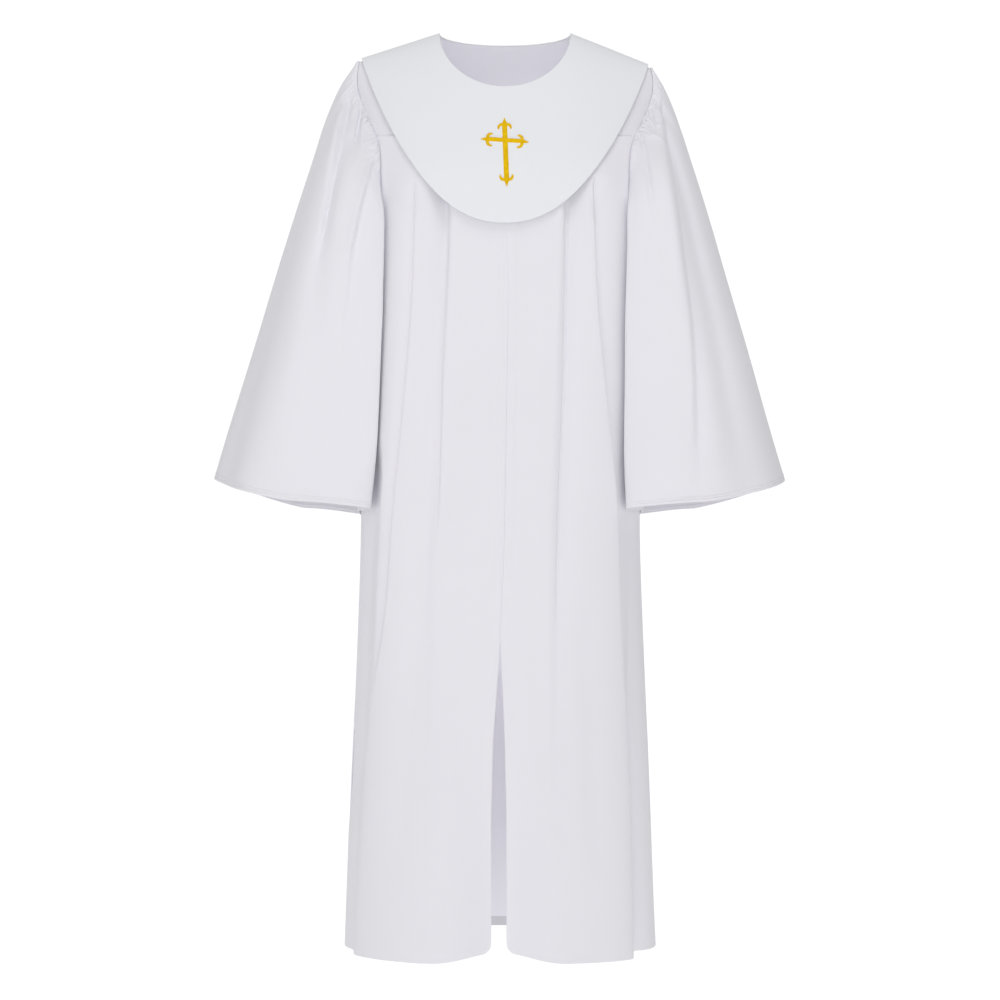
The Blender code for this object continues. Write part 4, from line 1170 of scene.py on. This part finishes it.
class ROBE_OT_sleeves(bpy.types.Operator):
    """Builds the two bell sleeves with their gathered heads"""

    bl_idname = "robe.sleeves"
    bl_label = "Sleeves"

    def execute(self, context):
        for side, name in SIDES:
            grid = sleeve_grid(side, *SLEEVE_GRID)
            piece = cloth_piece(
                "robe_sleeve_" + name, grid, context.scene.robe_cloth.wall, material_named("white_polyester"),
                flip=side > 0, closed=True,
            )
            finish_cloth(piece, ["sleeve_" + name])
        return {"FINISHED"}


def stitched(name, line, out, pitch, size):
    """Short stitches along a closed line of points, each a small bar half sunk in the cloth."""
    ring = np.concatenate([line, line[:1]])
    away = np.concatenate([out, out[:1]])
    at = lengths_along(ring)
    count = int(at[-1] / pitch)
    starts = np.linspace(0, at[-1], count, endpoint=False)
    parts = column(STITCH, STITCH_COLUMNS, "part")
    heights = column(STITCH, STITCH_COLUMNS, "height")
    where = starts[:, None] + STITCH_SHARE * pitch * parts[None, :]
    middle = points_at(where, at, ring)
    up = points_at(where, at, away)
    run = np.roll(middle, -1, axis=1) - middle
    run[:, -1] = run[:, -2]
    side = np.cross(run, up)
    side /= np.linalg.norm(side, axis=-1)[..., None]
    turns = np.linspace(0, 2 * math.pi, STITCH_ROUND, endpoint=False)
    width = size * (STITCH_END + (1 - STITCH_END) * heights)
    points = (
        middle[:, :, None] + up[:, :, None] * (size * heights[None, :, None, None] * STITCH_RISE)
        + side[:, :, None] * (np.cos(turns) * width[:, None])[None, :, :, None]
        + up[:, :, None] * (np.sin(turns) * width[:, None])[None, :, :, None]
    )
    faces = grid_faces(len(STITCH), STITCH_ROUND, True)
    base = (np.arange(count) * len(STITCH) * STITCH_ROUND)[:, None, None]
    sides = (base + faces[None]).reshape(-1, 4).tolist()
    corners = np.arange(STITCH_ROUND)
    last = (len(STITCH) - 1) * STITCH_ROUND
    ends = (base[:, 0] + corners).tolist() + (base[:, 0] + last + corners[::-1]).tolist()
    mesh = bpy.data.meshes.new(name)
    mesh.from_pydata(points.reshape(-1, 3).tolist(), [], sides + ends)
    mesh.materials.append(material_named("white_thread"))
    return linked(name, mesh)


class ROBE_OT_stitches(bpy.types.Operator):
    """Sews the two rows of stitches round each sleeve hem"""

    bl_idname = "robe.stitches"
    bl_label = "Hem stitches"

    def execute(self, context):
        sizes = context.scene.robe_thread
        turn = np.linspace(0, 2 * math.pi, STITCH_POINTS, endpoint=False)
        for side, name in SIDES:
            for row, up in enumerate((SLEEVE_HEM, SLEEVE_HEM + STITCH_ROW_GAP)):
                line = sleeve_ring(side, 1 - up / SLEEVE_RUN, turn)
                below = sleeve_ring(side, 1 - (up - STITCH_BELOW) / SLEEVE_RUN, turn)
                out = np.cross(np.roll(line, -1, axis=0) - np.roll(line, 1, axis=0), below - line) * side
                out /= np.linalg.norm(out, axis=1)[:, None]
                if np.mean(np.sum(out * (line - line.mean(axis=0)), axis=1)) < 0:
                    out = -out
                piece = stitched(f"robe_hem_stitches_{name}_{row + 1}", line, out, sizes.stitch, sizes.thread)
                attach(piece, "root")
        return {"FINISHED"}


class ROBE_OT_collar(bpy.types.Operator):
    """Builds the stiff overlay collar that lies over the yokes"""

    bl_idname = "robe.collar"
    bl_label = "Collar"

    def execute(self, context):
        sizes = context.scene.robe_collar
        rows_out, around = COLLAR_GRID
        grid = collar_points(rows_out, around)
        out = np.repeat(np.linspace(0, 1, rows_out), around)
        turn = np.linspace(0, 2 * math.pi, around, endpoint=False)
        ahead = np.maximum(np.cos(turn), 0) ** COLLAR_FRONT_POWER
        lift = sizes.wall + sizes.lift + sizes.edge_lift * out * (1 + COLLAR_FRONT_LIFT * np.tile(ahead, rows_out))
        look = material_named("stiffened_collar")
        piece = cloth_piece("robe_collar", grid, sizes.wall, look, closed=True, lift=lift)
        finish_cloth(piece, ["collar"])
        return {"FINISHED"}


def satin_tree(sizes):
    """Geometry Nodes that lay satin threads side by side along lines, each as wide as the line's radius."""
    tree = bpy.data.node_groups.new("satin_stitch", "GeometryNodeTree")
    face = tree.interface
    face.new_socket("Geometry", in_out="INPUT", socket_type="NodeSocketGeometry")
    names = {}
    for label, value in sizes.items():
        socket = face.new_socket(label, in_out="INPUT", socket_type="NodeSocketFloat")
        socket.default_value = value
        names[label] = socket.identifier
    look = face.new_socket("Look", in_out="INPUT", socket_type="NodeSocketMaterial")
    names["Look"] = look.identifier
    face.new_socket("Geometry", in_out="OUTPUT", socket_type="NodeSocketGeometry")

    def node(kind, links=(), values=(), **settings):
        made = tree.nodes.new(kind)
        for name, value in settings.items():
            setattr(made, name, value)
        for name, value in values:
            made.inputs[name].default_value = value
        for name, socket in links:
            tree.links.new(socket, made.inputs[name])
        return made

    given = node("NodeGroupInput")
    spaced = node(
        "GeometryNodeResampleCurve", [("Curve", given.outputs[0]), ("Length", given.outputs["Spacing"])], mode="LENGTH"
    )
    radius = node("GeometryNodeInputRadius")
    tangent = node("GeometryNodeInputTangent")
    lean = node("FunctionNodeAlignRotationToVector", [("Vector", tangent.outputs[0])], axis="Z")
    turned = node(
        "FunctionNodeAlignRotationToVector", [("Rotation", lean.outputs[0])], [("Vector", (0, -1, 0))],
        axis="Y", pivot_axis="Z",
    )
    arch = node("GeometryNodeCurveArc", values=[("Resolution", 7), ("Radius", 1.0), ("Sweep Angle", math.pi)])
    profile = node("GeometryNodeCurvePrimitiveCircle", values=[("Resolution", 5), ("Radius", 1.0)])
    size = node("ShaderNodeCombineXYZ", [("X", radius.outputs[0]), ("Y", given.outputs["Rise"])], [("Z", 1.0)])
    laid = node(
        "GeometryNodeInstanceOnPoints",
        [("Points", spaced.outputs[0]), ("Instance", arch.outputs[0]), ("Rotation", turned.outputs[0]),
         ("Scale", size.outputs[0])],
    )
    real = node("GeometryNodeRealizeInstances", [("Geometry", laid.outputs[0])])
    even = node("GeometryNodeSetCurveRadius", [("Curve", real.outputs[0]), ("Radius", given.outputs["Thread"])])
    tube = node(
        "GeometryNodeCurveToMesh", [("Curve", even.outputs[0]), ("Profile Curve", profile.outputs[0])],
        [("Fill Caps", True)],
    )
    if "Scale" in tube.inputs:
        tree.links.new(given.outputs["Thread"], tube.inputs["Scale"])
    painted = node("GeometryNodeSetMaterial", [("Geometry", tube.outputs[0]), ("Material", given.outputs["Look"])])
    result = node("NodeGroupOutput", [("Geometry", painted.outputs[0])])
    result.is_active_output = True
    return tree, names


def cross_lines():
    """Flat lines of the cross: two bars and four pairs of hooks, each point with its half width."""
    lines = []
    arms = rows_of(ARMS, ARM_COLUMNS)

    def place(arm, far, across):
        lean = math.radians(arm["lean"])
        return (
            CROSS_X + math.sin(lean) * far + math.cos(lean) * across,
            CROSS_Z + math.cos(lean) * far - math.sin(lean) * across,
        )

    for first, second in ((arms[0], arms[2]), (arms[1], arms[3])):
        line = [place(first, first["length"] - back, 0) + (half,) for back, half in BAR]
        line += [place(second, second["length"] - back, 0) + (half,) for back, half in reversed(BAR)]
        lines.append(line)
    for arm in arms:
        for side in (-1, 1):
            lines.append([place(arm, arm["length"] - back, side * across) + (half,) for back, across, half in HOOK])
    return lines


class ROBE_OT_cross(bpy.types.Operator):
    """Embroiders the gold cross on the collar in satin stitch"""

    bl_idname = "robe.cross"
    bl_label = "Cross"

    def execute(self, context):
        sizes = context.scene.robe_thread
        collar = bpy.data.objects["robe_collar"]
        context.view_layer.update()
        tree = BVHTree.FromObject(collar, context.evaluated_depsgraph_get())
        curve = bpy.data.curves.new("cross_lines", "CURVE")
        curve.dimensions = "3D"
        for line in cross_lines():
            length = [0.0]
            for a, b in zip(line, line[1:]):
                length.append(length[-1] + math.dist(a[:2], b[:2]))
            count = max(CROSS_LEAST, int(length[-1] / CROSS_STEP))
            at = np.linspace(0, length[-1], count)
            x, z, half = (np.interp(at, length, [point[i] for point in line]) for i in range(3))
            spline = curve.splines.new("POLY")
            spline.points.add(count - 1)
            for point, px, pz, radius in zip(spline.points, x, z, half):
                hit = tree.ray_cast(Vector((px, -1, pz)), Vector((0, 1, 0)))[0]
                point.co = (px, hit.y, pz, 1)
                point.radius = radius
        lines = linked("cross_lines", curve)
        given = {"Spacing": sizes.spacing, "Rise": sizes.rise, "Thread": sizes.thread}
        modifier = lines.modifiers.new("satin", "NODES")
        modifier.node_group, names = satin_tree(given)
        for label, value in given.items():
            modifier[names[label]] = value
        modifier[names["Look"]] = material_named("gold_satin")
        context.view_layer.update()
        mesh = bpy.data.meshes.new_from_object(lines.evaluated_get(context.evaluated_depsgraph_get()))
        bpy.data.objects.remove(lines)
        mesh.name = "robe_cross"
        piece = linked("robe_cross", mesh)
        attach(piece, "root")
        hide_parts("cross")
        return {"FINISHED"}


class ROBE_OT_stage(bpy.types.Operator):
    """Sets up the floor, the soft lights and the camera"""

    bl_idname = "robe.stage"
    bl_label = "Stage"

    def execute(self, context):
        sizes = context.scene.robe_light
        scene = context.scene
        floor_z = HEM_Z - sizes.floor_drop
        mesh = bpy.data.meshes.new("floor")
        corners = [(x * FLOOR_HALF, y * FLOOR_HALF, floor_z) for x, y in ((-1, -1), (1, -1), (1, 1), (-1, 1))]
        mesh.from_pydata(corners, [], [(0, 1, 2, 3)])
        floor = linked("floor", mesh)
        pale = Look("pale_floor", 0.9)
        pale.shader.inputs["Base Color"].default_value = (0.9, 0.9, 0.9, 1)
        pale.shader.inputs["Emission Color"].default_value = (1, 1, 1, 1)
        pale.shader.inputs["Emission Strength"].default_value = FLOOR_GLOW
        plain = Socket(pale, pale.shader.outputs[0])
        white = pale.node("ShaderNodeEmission", {}, {"Strength": PLAIN_WHITE})
        seen = pale.node("ShaderNodeLightPath", output="Is Camera Ray")
        both = pale.node("ShaderNodeMixShader", {}, {0: seen, 1: plain, 2: white})
        pale.tree.links.new(both.socket, pale.tree.nodes["Material Output"].inputs["Surface"])
        mesh.materials.append(pale.material)

        world = bpy.data.worlds.new("white_room")
        world.use_nodes = True
        nodes = world.node_tree.nodes
        links = world.node_tree.links
        room = nodes["Background"]
        room.inputs["Color"].default_value = (1, 1, 1, 1)
        room.inputs["Strength"].default_value = sizes.room
        seen = nodes.new("ShaderNodeBackground")
        seen.inputs["Color"].default_value = (1, 1, 1, 1)
        seen.inputs["Strength"].default_value = PLAIN_WHITE
        path = nodes.new("ShaderNodeLightPath")
        mix = nodes.new("ShaderNodeMixShader")
        links.new(path.outputs["Is Camera Ray"], mix.inputs[0])
        links.new(room.outputs[0], mix.inputs[1])
        links.new(seen.outputs[0], mix.inputs[2])
        links.new(mix.outputs[0], nodes["World Output"].inputs["Surface"])
        scene.world = world

        for name, z, power in INSIDE_LIGHTS:
            glow = bpy.data.lights.new(name, "POINT")
            glow.energy = sizes.inside * power
            glow.shadow_soft_size = INSIDE_SIZE
            linked(name, glow).location = (0.0, 0.0, z)
        for name, place, aim, width in LAMPS:
            lamp = bpy.data.lights.new(name, "AREA")
            lamp.shape = "SQUARE"
            lamp.size = width
            lamp.energy = getattr(sizes, name)
            made = linked(name, lamp)
            made.location = place
            made.rotation_euler = (Vector(aim) - Vector(place)).to_track_quat("-Z", "Y").to_euler()

        lens = bpy.data.cameras.new("view")
        lens.sensor_width = SENSOR_WIDTH
        lens.lens = SENSOR_WIDTH * -CAMERA_PLACE[1] / FRAME_WIDTH
        lens.shift_y = CAMERA_SHIFT
        camera = linked("view", lens)
        camera.location = CAMERA_PLACE
        camera.rotation_euler = (math.pi / 2, 0, 0)
        scene.camera = camera
        scene.view_settings.view_transform = "Standard"
        return {"FINISHED"}


class ROBE_PT_panel(bpy.types.Panel):
    """Lists the robe's pieces and sizes"""

    bl_label = "Robe"
    bl_idname = "ROBE_PT_panel"
    bl_space_type = "VIEW_3D"
    bl_region_type = "UI"
    bl_category = "Robe"

    def draw(self, context):
        for made in OPERATORS:
            self.layout.operator(made.bl_idname)
        for name in GROUPS:
            box = self.layout.box()
            group = getattr(context.scene, name)
            for field in group.bl_rna.properties:
                if field.identifier not in ("rna_type", "name"):
                    box.prop(group, field.identifier)


GROUPS = {
    "robe_cloth": RobeCloth,
    "robe_collar": RobeCollarSizes,
    "robe_thread": RobeThread,
    "robe_light": RobeLight,
}
OPERATORS = (
    ROBE_OT_stage,
    ROBE_OT_fronts,
    ROBE_OT_back,
    ROBE_OT_yokes,
    ROBE_OT_sleeves,
    ROBE_OT_stitches,
    ROBE_OT_collar,
    ROBE_OT_cross,
)


def register():
    for made in (*GROUPS.values(), *OPERATORS, ROBE_PT_panel):
        bpy.utils.register_class(made)
    for name, group in GROUPS.items():
        setattr(bpy.types.Scene, name, PointerProperty(type=group))


def unregister():
    for name in GROUPS:
        delattr(bpy.types.Scene, name)
    for made in reversed((*GROUPS.values(), *OPERATORS, ROBE_PT_panel)):
        bpy.utils.unregister_class(made)


def main():
    register()
    bpy.ops.robe.stage()
    bpy.ops.robe.fronts()
    bpy.ops.robe.back()
    bpy.ops.robe.yokes()
    bpy.ops.robe.sleeves()
    bpy.ops.robe.stitches()
    bpy.ops.robe.collar()
    bpy.ops.robe.cross()


if __name__ == "__main__":
    main()
